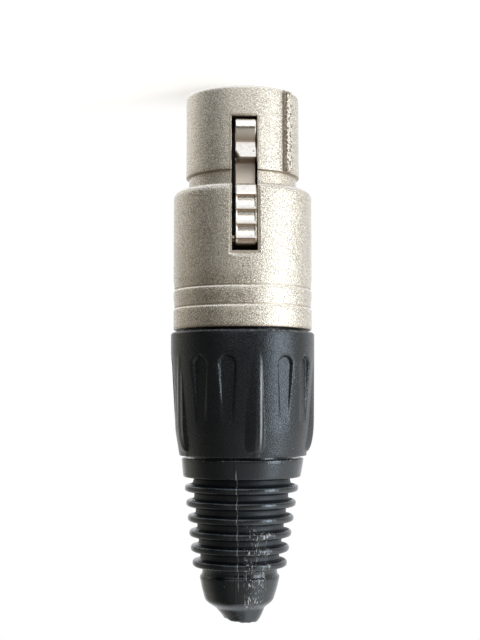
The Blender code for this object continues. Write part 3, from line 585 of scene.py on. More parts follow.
def hook_corner(across, z, height):
    """Take the hook's corner off on its +X side, along a slanting line."""
    off = (across - LATCH_HALF) * HOOK_CUT_SLANT[0] + (z - HOOK_Z + HOOK_CUT_SETBACK) * HOOK_CUT_SLANT[1]
    if off <= 0 or not HOOK_Z - HOOK_CUT_SETBACK - 0.1 < z < HOOK_Z + 0.3:
        return height
    ramp = DIP_HEIGHT + (HOOK_HEIGHT - DIP_HEIGHT) * (z - RAMP_Z) / (HOOK_Z - RAMP_Z)
    return max(NECK_HEIGHT + 0.1, min(height, ramp - HOOK_CUT_DROP * off))


def make_latch(finish):
    """Die-cast latch: side outlines lofted across its width, with broken edges and two trunnions."""
    sections = 44
    vertices = []
    for i in range(sections + 1):
        across = LATCH_HALF * math.sin(math.pi * (i / sections - 0.5))
        inset = max(0.0, abs(across) - LATCH_HALF + LATCH_CHAMFER)
        profile = latch_profile(smooth((LATCH_HALF - LATCH_CHAMFER / 2 - abs(across)) / TOOTH_BLEND))
        for j, (z, height) in enumerate(profile):
            before, after = profile[j - 1], profile[(j + 1) % len(profile)]
            along = Vector((after[0] - before[0], after[1] - before[1])).normalized()
            z, height = z + along.y * inset, height - along.x * inset
            vertices.append(Vector((across + LATCH_SHIFT, -hook_corner(across, z, height), z)))
    count = len(vertices) // (sections + 1)
    faces = ring_faces(count, sections + 1)
    faces += [tuple(range(count)), tuple(range(sections * count, (sections + 1) * count))]
    sides = 28
    for side in (-1, 1):
        first = len(vertices)
        steps = ((LATCH_HALF - 0.05, TRUNNION_RADIUS), (TRUNNION_END - TRUNNION_BREAK, TRUNNION_RADIUS),
                 (TRUNNION_END, TRUNNION_RADIUS - TRUNNION_BREAK))
        for across, radius in steps:
            for z, height in arc((PIVOT_Z, PIVOT_HEIGHT), radius, 0, 360 - 360 / sides, sides - 1):
                vertices.append(Vector((side * across, -height, z)))
        faces += ring_faces(sides, len(steps), first)
        faces += [tuple(range(first, first + sides)),
                  tuple(range(first + (len(steps) - 1) * sides, first + len(steps) * sides))]
    latch = make_piece("latch_lever", vertices, faces, "latch", finish, 28.0)
    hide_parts("latch")
    return latch


def make_spring(finish):
    """Coil spring between its pocket and the latch's underside, with closed ends."""
    bottom, top = -spring_high.y + SPRING_WIRE, -spring_low.y - SPRING_WIRE
    steps, sides = 30, 10
    count = SPRING_TURNS * steps
    vertices = []
    for i in range(count + 1):
        turn = 2 * math.pi * i / steps
        out = Vector((math.cos(turn), 0, math.sin(turn)))
        centre = Vector((0, -bottom - (top - bottom) * i / count, SPRING_Z)) + out * SPRING_RADIUS
        for j in range(sides):
            around_wire = 2 * math.pi * j / sides
            side = out * math.cos(around_wire) + Vector((0, math.sin(around_wire), 0))
            vertices.append(centre + side * SPRING_WIRE)
    faces = ring_faces(sides, count + 1)
    faces += [tuple(range(sides)), tuple(range(count * sides, (count + 1) * sides))]
    spring = make_piece("latch_coil", vertices, faces, "shell", finish, 60.0)
    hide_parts("latch_spring")
    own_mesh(spring)
    return spring


def panel_radius(depth):
    """Radius of the nut between its fins, at a depth behind its front edge."""
    if depth <= PANEL_START:
        return NUT_RADIUS
    if depth <= PANEL_MID:
        return NUT_RADIUS - PANEL_DROP * (depth - PANEL_START) / (PANEL_MID - PANEL_START)
    share = (depth - PANEL_MID) / (NUT_LENGTH - PANEL_MID)
    return NUT_RADIUS - PANEL_DROP - (PANEL_TAIL_DROP - PANEL_DROP) * share


def fin_radius(depth):
    """Radius of a fin's crest, which curves in to the panels at its lower end."""
    if depth <= FIN_STRAIGHT:
        return NUT_RADIUS - FIN_DROP * max(0.0, depth - PANEL_START) / (FIN_STRAIGHT - PANEL_START)
    low = panel_radius(FIN_LENGTH)
    share = min(1.0, (depth - FIN_STRAIGHT) / (FIN_LENGTH - FIN_STRAIGHT))
    return low + (NUT_RADIUS - FIN_DROP - low) * math.sqrt(max(0.0, 1 - share ** 2.2))


def nut_outside(depth, angle):
    """Radius of the nut at a depth and an angle, with its fins and its thumb recesses."""
    panel = panel_radius(depth)
    radius = panel
    crest = fin_radius(depth)
    if crest > panel:
        off_fin = (angle - FIN_ANGLE + FIN_PITCH / 2) % FIN_PITCH - FIN_PITCH / 2
        across = math.radians(off_fin) * crest
        spread = math.sqrt(min(1.0, (crest - panel) / (PANEL_TAIL_DROP - PANEL_DROP + FIN_DROP)))
        flank = (FIN_WIDE_FLANK if across < 0 else FIN_STEEP_FLANK) * max(0.1, spread)
        edge = FIN_WIDE_EDGE if across < 0 else FIN_STEEP_EDGE
        beyond = math.hypot(max(0.0, abs(across) - FIN_HALF_CREST * (0.4 + 0.6 * spread)), edge) - edge
        radius = panel + (crest - panel) * max(0.0, 1 - beyond / flank)
    off_panel = (angle - FIN_ANGLE) % FIN_PITCH - FIN_PITCH / 2
    off_grip = abs(abs(off_panel) - GRIP_ANGLE / 2)
    across = math.radians(off_grip) * NUT_RADIUS
    along = depth - GRIP_START
    if -0.3 < along < GRIP_LENGTH and across < GRIP_TOP_HALF + 0.3:
        if along < GRIP_TOP_HALF:
            into = GRIP_TOP_HALF - math.hypot(across, along - GRIP_TOP_HALF)
        else:
            share = (along - GRIP_TOP_HALF) / (GRIP_LENGTH - GRIP_TOP_HALF)
            into = GRIP_TOP_HALF + (GRIP_END_HALF - GRIP_TOP_HALF) * share - across
        floor = (NUT_RADIUS - GRIP_DEPTH) / math.cos(math.radians(off_grip))
        radius -= max(0.0, radius - floor) * smooth(into / GRIP_EDGE + 0.5)
        line = max(0.0, 1 - abs(into + GRIP_LINE_OFF) / GRIP_LINE_WIDTH)
        radius -= GRIP_LINE * line * smooth(1.5 * (GRIP_LENGTH - along))
    return radius


def thread_radius(z, angle):
    """The nut's fine thread: flat roots, slanting flanks and narrow crests along a helix."""
    phase = (z / THREAD_PITCH + THREAD_STARTS * angle / 360) % 1
    ends = smooth((z - SLEEVE_START - SLEEVE_EDGE) / THREAD_LEAD_IN)
    ends *= smooth((NUT_FRONT - THREAD_STOP - z) / THREAD_RUNOUT)
    ridge = min(1.0, max(0.0, THREAD_FULL - abs(phase - 0.5) * THREAD_SLOPE))
    return SLEEVE_RADIUS + THREAD_HEIGHT * ends * ridge


def round_inset(radius, depth):
    """How far a rounded edge of a radius lies inside its corner, at a depth from its end."""
    return radius - math.sqrt(radius ** 2 - max(0.0, radius - depth) ** 2)


def nut_columns():
    """Angles of the nut's columns, close together at the fins and the thumb recesses."""
    fine, wide = math.degrees(0.075 / NUT_RADIUS), math.degrees(0.4 / NUT_RADIUS)
    fin_low = math.degrees((FIN_HALF_CREST + FIN_WIDE_FLANK + 0.15) / NUT_RADIUS)
    fin_high = math.degrees((FIN_HALF_CREST + FIN_STEEP_FLANK + 0.15) / NUT_RADIUS)
    grip = math.degrees((GRIP_TOP_HALF + 0.15) / NUT_RADIUS)
    first, second = (FIN_PITCH - GRIP_ANGLE) / 2, (FIN_PITCH + GRIP_ANGLE) / 2
    spans = [(-fin_low, fin_high, fine), (fin_high, first - grip, wide), (first - grip, first + grip, fine),
             (first + grip, second - grip, wide), (second - grip, second + grip, fine),
             (second + grip, FIN_PITCH - fin_low, wide)]
    angles = []
    for k in range(FIN_COUNT):
        for start, end, step in spans:
            count = math.ceil((end - start) / step)
            angles += [FIN_ANGLE + k * FIN_PITCH + start + (end - start) * i / count for i in range(count)]
    return angles


def nut_depths():
    """Depths of the nut's rows behind its front edge, close at its edges and its recesses' ends."""
    depths = [NUT_FRONT_ROUND * (1 - math.cos(math.radians(turn))) for turn in range(0, 91, 15)]
    depths += [1.0, 1.7, 2.3, PANEL_START, 3.1]
    depths += [GRIP_START - 0.1 + 0.09 * i for i in range(16)]
    depths += [GRIP_START + 1.45 + 0.3 * i for i in range(26)]
    depths += [12.65, 13.0, 13.3]
    curve = FIN_LENGTH - PANEL_MID
    depths += [PANEL_MID + curve * math.sin(math.radians(turn)) for turn in range(8, 91, 6)]
    return depths + [NUT_LENGTH - 0.4, NUT_LENGTH - NUT_TAIL_ROUND, NUT_LENGTH - 0.05, NUT_LENGTH]


def make_nut(finish):
    """Moulded gland nut: fins and thumb recesses outside, thread on its sleeve, cone and groove inside."""
    angles = nut_columns()
    rings = []
    for depth in nut_depths():
        inset = round_inset(NUT_FRONT_ROUND, depth) + round_inset(NUT_TAIL_ROUND, NUT_LENGTH - depth)
        rings.append([around(nut_outside(depth, a) - inset, a, NUT_FRONT + depth) for a in angles])
    inner = [
        (SPIGOT_BORE, NUT_END), (SPIGOT_BORE, GROOVE[1]), (GROOVE_RADIUS, GROOVE[1]),
        (GROOVE_RADIUS, GROOVE[0]), (SPIGOT_BORE, GROOVE[0]), (SPIGOT_BORE, SPIGOT_START - SPIGOT_GAP),
        (CONE_END_RADIUS, SPIGOT_START - SPIGOT_GAP), (CONE_END_RADIUS, JAW_END), (SLEEVE_BORE, CONE_START),
        (SLEEVE_BORE, SLEEVE_START + 0.2), (SLEEVE_BORE + 0.2, SLEEVE_START),
        (SLEEVE_RADIUS - SLEEVE_EDGE, SLEEVE_START),
    ]
    rings += [[around(radius, a, z) for a in angles] for radius, z in inner]
    thread_start, thread_end = SLEEVE_START + SLEEVE_EDGE, NUT_FRONT - 0.1
    steps = math.ceil((thread_end - thread_start) / (THREAD_PITCH / 8))
    for i in range(steps + 1):
        z = thread_start + (thread_end - thread_start) * i / steps
        rings.append([around(thread_radius(z, a), a, z) for a in angles])
    rings.append([around(SLEEVE_RADIUS, a, NUT_FRONT) for a in angles])
    vertices = [place for ring in rings for place in ring]
    faces = ring_faces(len(angles), len(rings), closed=True)
    nut = make_piece("gland_nut_moulding", vertices, faces, "nut", finish, 50.0)
    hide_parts("gland_nut")
    return nut


def relief_profile():
    """The bend relief's section as (z, radius): spigot, collar, ribs and tip, then back along its bore."""
    snap_end, snap_radius = SNAP_START + SNAP_LENGTH, GROOVE_RADIUS - SNAP_EDGE
    profile = [
        (SPIGOT_START, CABLE_RADIUS + SPIGOT_EDGE), (SPIGOT_START, SPIGOT_RADIUS - SPIGOT_EDGE),
        (SPIGOT_START + SPIGOT_EDGE, SPIGOT_RADIUS), (SNAP_START, SPIGOT_RADIUS),
        (SNAP_START + SNAP_EDGE, snap_radius), (snap_end, snap_radius), (snap_end, SPIGOT_RADIUS),
        (COLLAR_START, SPIGOT_RADIUS), (COLLAR_START, COLLAR_RADIUS - COLLAR_EDGE),
    ]
    profile += arc((COLLAR_START + COLLAR_EDGE, COLLAR_RADIUS - COLLAR_EDGE), COLLAR_EDGE, 165, 90, 4)
    profile += arc((COLLAR_END - COLLAR_FOOT_ROUND, COLLAR_FOOT_RADIUS - COLLAR_FOOT_ROUND),
                   COLLAR_FOOT_ROUND, 90, 5, 5)
    profile += [(COLLAR_END + 0.08, RIB_RADIUS - 0.6), (COLLAR_END + 0.14, RIB_RADIUS - RIB_DEPTH + 0.12),
                (COLLAR_END + 0.25, RIB_RADIUS - RIB_DEPTH)]
    for i in range(RIB_COUNT):
        z, radius = FIRST_RIB + i * RIB_PITCH, RIB_RADIUS - i * RIB_STEP
        root = radius - RIB_DEPTH + RIB_STEP / 2
        low, high = z - RIB_HALF, z + RIB_HALF
        profile += [(low - RIB_FLARE, root), (low - RIB_FLARE * 0.55, root + 0.08),
                    (low - 0.08, root + 0.3)]
        profile += arc((low + RIB_ROUND, radius - RIB_ROUND), RIB_ROUND, 165, 90, 7)
        profile += arc((high - RIB_ROUND, radius - RIB_ROUND), RIB_ROUND, 90, 15, 7)
        after = root - RIB_STEP
        profile += [(high + 0.08, after + 0.3), (high + RIB_FLARE * 0.55, after + 0.08),
                    (high + RIB_FLARE, after)]
    barrel_end, barrel_radius = TIP_START + BARREL_LENGTH, TIP_RADIUS - BARREL_TAPER
    profile += [
        (TIP_START - 0.62, TIP_RADIUS - 0.31), (TIP_START - 0.3, TIP_RADIUS - 0.28),
        (TIP_START - 0.08, TIP_RADIUS - 0.12), (TIP_START + 0.05, TIP_RADIUS - 0.02),
        (TIP_START + 0.22, TIP_RADIUS), (TIP_START + 1.7, TIP_RADIUS - 0.32),
        (barrel_end - 0.3, barrel_radius + 0.08), (barrel_end + 0.05, barrel_radius - 0.02),
        (barrel_end + 0.35, barrel_radius - 0.2), (barrel_end + 0.65, barrel_radius - 0.52),
        (barrel_end + 0.95, barrel_radius - 0.95), (barrel_end + 1.2, barrel_radius - 1.3),
        (barrel_end + 1.3, barrel_radius - 1.4), (barrel_end + 1.45, barrel_radius - 1.5),
        (TIP_END - 0.6, TIP_HOLE + 0.8), (TIP_END - 0.15, TIP_HOLE + 0.5),
        (TIP_END, TIP_HOLE + 0.4), (TIP_END, TIP_HOLE), (TIP_END - 2.5, TIP_HOLE + 0.2),
        (COLLAR_END, CABLE_RADIUS),
    ]
    return profile


def relief_place(z, radius, angle):
    """A place on the bend relief, with its lean, its moulding seam and the slanting cut with one notch."""
    turn = math.radians(angle)
    share = max(0.0, z - COLLAR_START) / (TIP_END - COLLAR_START)
    if z > COLLAR_START and radius > CABLE_RADIUS + 1:
        radius += SEAM_HEIGHT * math.exp(-(((angle - SEAM_ANGLE) / SEAM_WIDTH) ** 2))
        radius += 0.02 * math.sin(3 * turn + 0.9 * z) * share
    place = around(radius, angle, z)
    ragged = 0.03 * math.sin(5 * turn + 0.8) + 0.025 * math.sin(13 * turn + 2.0)
    ragged -= NOTCH_DEPTH * math.exp(-(((angle - NOTCH_ANGLE) / NOTCH_WIDTH) ** 2))
    cut = TIP_END - CUT_SETBACK - place.x * math.tan(math.radians(CUT_TILT)) + ragged
    place.z = min(place.z, cut, relief_high.z)
    place.x += LEAN * (1 - (1 - share) ** 2) - TIP_BEND * smooth((z - BEND_START) / BEND_LENGTH)
    return place


def make_relief(finish):
    """Rubber bend relief: turned ribs with a slight lean, a moulding seam and a roughly cut tip."""
    rows = refined(relief_profile(), 0.4)
    seam = [SEAM_ANGLE + offset for offset in (-1.6, -0.9, -0.5, 0.0, 0.5, 0.9, 1.6)]
    even = [2.0 * i - 180 for i in range(180)]
    columns = sorted(seam + [angle for angle in even if abs(angle - SEAM_ANGLE) > 2.2])
    vertices = [relief_place(z, radius, angle) for z, radius in rows for angle in columns]
    faces = ring_faces(len(columns), len(rows), closed=True)
    relief = make_piece("bend_relief_moulding", vertices, faces, "relief", finish, 40.0)
    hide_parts("bend_relief")
    return relief


class Signal:
    """A socket of a material's nodes, with which sums are written as with a number."""

    def __init__(self, finish, socket):
        self.finish = finish
        self.socket = socket

    def __add__(self, other):
        return self.finish.maths("ADD", self, other)

    __radd__ = __add__

    def __sub__(self, other):
        return self.finish.maths("SUBTRACT", self, other)

    def __rsub__(self, other):
        return self.finish.maths("SUBTRACT", other, self)

    def __mul__(self, other):
        return self.finish.maths("MULTIPLY", self, other)

    __rmul__ = __mul__

    def __truediv__(self, other):
        return self.finish.maths("DIVIDE", self, other)

    def most(self, other):
        """The higher of two values."""
        return self.finish.maths("MAXIMUM", self, other)

    def away(self, middle):
        """Distance from a value."""
        return self.finish.maths("ABSOLUTE", self - middle)

    def cycle(self, length):
        """The share of a repeating length, from 0 to 1."""
        return self.finish.maths("FRACT", self / length)

    def step(self, start, end):
        """A soft step from 0 at start to 1 at end."""
        return self.finish.node("ShaderNodeMapRange", {"interpolation_type": "SMOOTHSTEP"},
                                {0: self, 1: start, 2: end})

    def line(self, middle, width):
        """A soft line of 1 round a value, 0 elsewhere."""
        return self.away(middle).step(width, width * 0.3)


class Finish:
    """A procedural material on the plug's own places, in millimetres and degrees."""

    def __init__(self, name, **fixed):
        self.material = bpy.data.materials.new(name)
        self.material.use_nodes = True
        self.tree = self.material.node_tree
        self.tree.nodes.clear()
        output = self.tree.nodes.new("ShaderNodeOutputMaterial")
        self.shader = self.tree.nodes.new("ShaderNodeBsdfPrincipled")
        self.tree.links.new(self.shader.outputs[0], output.inputs[0])
        for socket, value in fixed.items():
            self.shader.inputs[socket.replace("_", " ")].default_value = value
        metres = self.node("ShaderNodeTexCoord", output="Object")
        self.place = self.node("ShaderNodeVectorMath", {"operation": "SCALE"}, {0: metres, 3: 1 / MM})
        self.x, self.y, self.z = (
            self.node("ShaderNodeSeparateXYZ", {}, {0: self.place}, output=axis) for axis in range(3))
        self.angle = self.maths("ARCTAN2", self.x * -1, self.y * -1) * math.degrees(1)

    def node(self, kind, settings=None, inputs=None, output=0):
        """Add a node: its settings first, then the values or links of its sockets."""
        node = self.tree.nodes.new(kind)
        for setting, value in (settings or {}).items():
            if setting == "stops":
                set_stops(node.color_ramp, value)
            else:
                setattr(node, setting, value)
        for socket, value in (inputs or {}).items():
            if isinstance(value, Signal):
                self.tree.links.new(value.socket, node.inputs[socket])
            else:
                node.inputs[socket].default_value = value
        return Signal(self, node.outputs[output])

    def maths(self, operation, *values):
        """A Math node on values that are signals or numbers."""
        return self.node("ShaderNodeMath", {"operation": operation}, dict(enumerate(values)))

    def off_axis(self):
        """Distance from the plug's axis."""
        return self.maths("SQRT", self.x * self.x + self.y * self.y)

    def noise(self, scale, detail=2.0, stretch=(1, 1, 1), shift=0.0):
        """Noise round 0, about -1 to 1, with scale bumps a millimetre."""
        place = self.node("ShaderNodeVectorMath", {"operation": "MULTIPLY_ADD"},
                          {0: self.place, 1: stretch, 2: (shift, shift, shift)})
        level = self.node("ShaderNodeTexNoise", {}, {"Vector": place, "Scale": scale, "Detail": detail})
        return (level - 0.5) * NOISE_SPREAD

    def specks(self, scale, size, share, shift=0.0):
        """Sparse round specks: a share of cells of 1 / scale millimetres holds one."""
        place = self.node("ShaderNodeVectorMath", {"operation": "ADD"},
                          {0: self.place, 1: (shift, shift, shift)})
        cells = {"Vector": place, "Scale": scale}
        distance = self.node("ShaderNodeTexVoronoi", {}, cells, output="Distance")
        chance = self.node("ShaderNodeTexVoronoi", {}, cells, output="Color")
        chosen = self.node("ShaderNodeSeparateXYZ", {}, {0: chance}).step(share, share * 0.9)
        return distance.step(size * scale, size * scale * 0.5) * chosen

    def mix(self, share, first, second):
        """A colour that goes from the first to the second as share goes from 0 to 1."""
        return self.node("ShaderNodeMix", {"data_type": "RGBA"},
                         {0: share, 6: colour(first), 7: colour(second)}, output=2)

    def shade(self, tone, amount):
        """A colour made lighter or darker by an amount round 0."""
        return self.node("ShaderNodeVectorMath", {"operation": "SCALE"}, {0: tone, 3: amount + 1})

    def bump(self, height, size, normal=None):
        """A bump whose height of 1 stands size millimetres proud."""
        inputs = {"Height": height, "Distance": size * MM}
        if normal:
            inputs["Normal"] = normal
        return self.node("ShaderNodeBump", {}, inputs)

    def feed(self, **signals):
        """Link signals to the shader's own sockets."""
        for socket, signal in signals.items():
            self.tree.links.new(signal.socket, self.shader.inputs[socket.replace("_", " ")])


def colour(value):
    """What a colour socket takes: a signal as it is, or a colour with its alpha."""
    return value if isinstance(value, Signal) else (*value, 1.0)


def set_stops(ramp, stops):
    """Give a ramp its stops, each a place from 0 to 1 and a grey level."""
    while len(ramp.elements) < len(stops):
        ramp.elements.new(1.0)
    for element, (place, level) in zip(ramp.elements, stops):
        element.position = place
        element.color = (level, level, level, 1.0)


def shell_dust_and_shade(finish):
    """Where the shell is painted brown: dust at the rear edge, a faint tone over the neck, a line round the
    slot, painted shadow in the groove behind the nose's rear edge, and painted shade at the key rib's foot
    and before each band step.
    """
    z = finish.z
    neck = z.step(NOSE_END - 0.1, NOSE_END + 0.1) * z.step(NECK_END + 0.15, NECK_END - 0.05)
    # Painted shadow: a dark brown line in the groove just behind the nose's rear edge
    groove = z.line(NOSE_END + NECK_FILLET, 0.2)
    # Painted shade: a brown band along the foot of the key rib, on both sides
    foot = finish.angle.away(KEY_ANGLE).line(math.degrees(KEY_HALF / NOSE_RADIUS) + 0.3, 0.7)
    foot = foot * z.step(NOSE_END, NOSE_END - 0.3)
    # Painted shade: a brown line in the hollow just before each band step
    corner = z.line(BAND_STEPS[0] - 0.16, 0.15).most(z.line(BAND_STEPS[1] - 0.16, 0.15))
    rear = z.step(SHELL_END - 0.5, SHELL_END - 0.15) * (0.7 + finish.noise(1.8, 3.0, shift=5.0) * 0.8)
    slot = (finish.x.away(0.0) - SLOT_HALF).most(z.away(SLOT_MID) - SLOT_LENGTH / 2)
    slot = slot.line(0.12, 0.32) * finish.angle.away(0.0).step(30, 25)
    dust = (neck * 0.15).most(groove * 0.9).most(foot * 0.6).most(corner * 0.6)
    return dust.most(rear * 0.8).most(slot * 0.55)


def shell_painted_highlights(finish):
    """Painted highlights: where the shell's plating is made paler on the rim, the steps, the shoulder and the
    end of the pocket.
    """
    z, from_middle = finish.z, finish.x.away(0.0)
    bow = z - POCKET_END - POCKET_BOW + finish.x * finish.x * (POCKET_BOW / POCKET_HALF ** 2)
    pocket = bow.line(0.0, 0.18) * from_middle.step(POCKET_HALF + 0.2, POCKET_HALF) * finish.y.step(0, -5)
    # Painted highlights: paler lines on the rim, the shoulder and the pocket's end, then on each band step
    worn = z.step(RIM_ROUND * 0.95, RIM_ROUND * 0.5).most(z.line(NECK_END + 0.3, 0.2)).most(pocket)
    for step_z in BAND_STEPS:
        worn = worn.most(z.line(step_z + 0.1, 0.15))
    return worn


def blasted_nickel():
    """Shell: sand-blasted nickel plate with fine sparkling grain, brown dust, painted shade in its creases
    and painted highlights on its edges.
    """
    finish = Finish("shell_nickel", Metallic=1.0)
    clouds = finish.noise(0.22, 3.0)
    grain = finish.noise(8.0, 1.0)
    fine = finish.noise(14.0, 1.0, shift=7.0)
    dust = shell_dust_and_shade(finish) * (0.85 + grain * 0.4)
    tone = finish.shade(NICKEL, clouds * 0.05 + grain * 0.75 + fine * 0.5)
    # Mixes in the brown dust and the painted shade and shadow of the mask above
    tone = finish.mix(dust, tone, NICKEL_DUST_AND_SHADE)
    # Painted highlights: paler base colour from the mask above
    tone = finish.mix(shell_painted_highlights(finish) * 0.9, tone, NICKEL_HIGHLIGHT)
    pits = finish.specks(1.1, 0.1, 0.12, 3.0)
    chips = finish.specks(2.4, 0.26, 0.75, 6.0) * finish.angle.away(KEY_ANGLE).step(4.6, 3.6)
    chips = chips * finish.z.step(NOSE_END, NOSE_END - 0.3)
    tone = finish.mix((pits * 0.7).most(chips * 0.9), tone, NICKEL_PIT)
    finish.feed(
        Base_Color=tone,
        Roughness=0.24 + grain * 0.1 + clouds * 0.03 + dust * 0.14,
        Normal=finish.bump(fine, 0.013, finish.bump(grain, 0.024)),
    )
    return finish.material


def worn_nickel():
    """Latch: smoother nickel, with a brown film in patches, painted shade in its dip, on its neck, in its
    valleys, behind the hook and at its rear, and one small blemish near the hook.
    """
    finish = Finish("latch_nickel", Metallic=1.0)
    clouds = finish.noise(0.5, 3.0, shift=11.0)
    grain = finish.noise(6.0, 2.0, shift=5.0)
    z = finish.z
    dip = z.step(LATCH_TIP + TIP_FLAT, DIP_Z + 0.2) * z.step(RAMP_Z + 0.06, RAMP_Z - 0.04)
    neck = z.step(HOOK_Z, HOOK_Z + 0.1) * z.step(PAD_Z + 0.05, PAD_Z - 0.05)
    dull = neck.most(dip.step(0, 0.1))
    dark = z.line(HOOK_Z + 0.4, 0.4).most(z.step(LATCH_REAR - 0.9, LATCH_REAR - 0.1))
    valley = (z - FIRST_CREST).cycle(TOOTH_PITCH).step(0.42, 0.05)
    valley = valley * z.step(FIRST_CREST, FIRST_CREST + 0.05)
    film = (finish.noise(1.4, 3.0, shift=2.0) + 0.1).step(0.0, 0.7) * 0.25
    # The film mask: random patches of real film, plus painted shade in the dip, on the neck, in the tooth
    # valleys, behind the hook and at the rear end
    film = film.most(dip).most(neck * 0.6).most(valley).most(dark)
    tone = finish.shade(finish.mix(film, LATCH_NICKEL, LATCH_FILM_AND_SHADE), clouds * 0.04 + grain * 0.05)
    stub = finish.x.away(LATCH_SHIFT).step(LATCH_HALF - 0.04, LATCH_HALF + 0.04)
    # Painted shade: behind the hook and at the rear end the colour goes darker still; the trunnion stubs go
    # dark too
    tone = finish.mix(stub.most(dark * 0.6) * 0.85, tone, NICKEL_PIT)
    spot = finish.x.away(SPOT_X) + z.away(SPOT_Z)
    tone = finish.mix(spot.step(0.22, 0.1) * 0.8, tone, LATCH_SPOT)
    finish.feed(
        Base_Color=tone,
        Roughness=0.2 + grain * 0.04 + film * 0.08 + dull * 0.22,
        Normal=finish.bump(grain, 0.003),
    )
    return finish.material


def black_plastic():
    """Gland nut: black moulded plastic with a fine eroded grain, a little pale dust, a painted highlight
    along each fin's crest, and pale dust with a painted sheen along its front edge.
    """
    finish = Finish("nut_plastic", Specular_IOR_Level=0.8, Specular_Tint=GLOSS_TINT)
    clouds = finish.noise(0.3, 3.0)
    grain = finish.noise(6.5, 1.0)
    dust = finish.specks(0.5, 0.07, 0.35).most(finish.specks(0.9, 0.05, 0.3, 9.0))
    # Pale patches along the front edge: dust and a painted sheen
    rim = finish.z.line(NUT_FRONT + 0.12, 0.2) * finish.noise(1.6, 3.0, shift=4.0).step(0.0, 0.7)
    # Painted highlight: a paler line along each fin's crest, a little off its middle
    turn = finish.maths("FLOORED_MODULO", finish.angle - FIN_ANGLE + 1.5 * FIN_PITCH, FIN_PITCH)
    crest = turn.line(FIN_PITCH / 2 + CREST_HIGHLIGHT_TURN, 1.2) * finish.z.step(NUT_FRONT + 3.2, NUT_FRONT + 7.5)
    crest = crest * finish.z.step(NUT_FRONT + FIN_LENGTH, NUT_FRONT + FIN_STRAIGHT + 2)
    tone = finish.shade(finish.mix(crest * 0.8, PLASTIC, PLASTIC_HIGHLIGHT), clouds * 0.12 + grain * 0.2)
    pale = dust.most(rim * 0.5)
    tone = finish.mix(pale, tone, DUST)
    finish.feed(
        Base_Color=tone,
        Roughness=0.28 + grain * 0.09 + clouds * 0.03 + pale * 0.3,
        Normal=finish.bump(grain, 0.019),
    )
    return finish.material


def black_rubber():
    """Bend relief: black rubber with a moulding seam, pale scuffs on its front and fine dust."""
    finish = Finish("relief_rubber", Specular_IOR_Level=0.92, Specular_Tint=GLOSS_TINT)
    clouds = finish.noise(0.35, 3.0, shift=3.0)
    grain = finish.noise(5.0, 2.0)
    z, angle = finish.z, finish.angle
    broken = finish.noise(1.6, 3.0, (0.3, 0.3, 1.0), 6.0)
    seam = (angle.line(SEAM_ANGLE, 0.7) * broken.step(-0.45, 0.2)
            * z.step(COLLAR_START + 1.2, COLLAR_START + 1.5) * z.step(TIP_START + 1.6, TIP_START + 1.2))
    strokes = finish.noise(4.8, 1.0, (1.0, 1.0, 0.2), 8.0).step(0.19, 0.3)
    worn = angle.step(SCUFF_START, SCUFF_START + 5) * angle.step(SCUFF_END, SCUFF_END - 10)
    worn = worn * z.step(FIRST_RIB + 1.6 * RIB_PITCH, FIRST_RIB + 3 * RIB_PITCH)
    worn = worn * z.step(TIP_START + 5.0, TIP_START + BARREL_LENGTH)
    scuffs = strokes * worn * finish.noise(0.9, 2.0, shift=1.0).step(-0.4, 0.3)
    dust = finish.specks(0.7, 0.06, 0.4, 5.0)
    lint = z.line(COLLAR_START + 0.1, 0.25) * finish.noise(3.0, 3.0, shift=2.5).step(0.1, 0.6)
    pale = (seam * 0.5).most(scuffs).most(dust * 0.8).most(lint * 0.3)
    crest = RIB_RADIUS - (z - FIRST_RIB) * (RIB_STEP / RIB_PITCH)
    hollow = (finish.off_axis() - crest).step(-0.5, -0.9) * z.step(COLLAR_END, COLLAR_END + 0.1)
    hollow = hollow * z.step(LAST_RIB + 1.0, LAST_RIB + 0.6)
    tone = finish.shade(RUBBER, clouds * 0.15 + grain * 0.12)
    tone = finish.mix(pale, tone, DUST)
    finish.feed(
        Base_Color=tone,
        Roughness=0.13 + grain * 0.05 + clouds * 0.02 + pale * 0.3 + hollow * 0.4,
        Normal=finish.bump(scuffs, 0.02, finish.bump(grain, 0.014)),
    )
    return finish.material


def drawn_steel():
    """Latch spring: bright drawn steel wire with lines along it."""
    finish = Finish("spring_steel", Metallic=1.0)
    lines = finish.noise(14.0, 2.0, (1.0, 0.2, 1.0))
    finish.feed(
        Base_Color=finish.shade(STEEL, lines * 0.12),
        Roughness=0.28 + lines * 0.06,
    )
    return finish.material


def plated_contact():
    """Contacts and ground leaf: pale plating with faint drawing marks and a warm film."""
    finish = Finish("contact_plating", Metallic=1.0)
    film = finish.noise(0.8, 3.0).step(-0.2, 0.9)
    lines = finish.noise(9.0, 2.0, (1.0, 1.0, 0.12))
    finish.feed(
        Base_Color=finish.shade(finish.mix(film * 0.5, PLATING, PLATING_FILM), lines * 0.07),
        Roughness=0.24 + film * 0.1 + lines * 0.05,
        Normal=finish.bump(lines, 0.002),
    )
    return finish.material


def moulded_insulator():
    """Insulator halves: black glass-filled plastic with faint flow marks."""
    finish = Finish("insulator")
    flow = finish.noise(0.7, 4.0, (1.0, 1.0, 0.3))
    grain = finish.noise(8.0, 2.0)
    finish.feed(
        Base_Color=finish.shade(INSULATOR, flow * 0.2 + grain * 0.15),
        Roughness=0.42 + flow * 0.06 + grain * 0.05,
        Normal=finish.bump(grain, 0.004),
    )
    return finish.material


def pale_plastic():
    """Chuck: milky unpainted plastic with faint flow marks."""
    finish = Finish("chuck_plastic")
    flow = finish.noise(0.5, 4.0, (1.0, 1.0, 0.3), 4.0)
    grain = finish.noise(8.0, 2.0)
    finish.feed(
        Base_Color=finish.shade(finish.mix(flow.step(-0.6, 0.8), CHUCK, CHUCK_FLOW), grain * 0.04),
        Roughness=0.45 + flow * 0.05 + grain * 0.04,
        Normal=finish.bump(grain, 0.004),
    )
    return finish.material


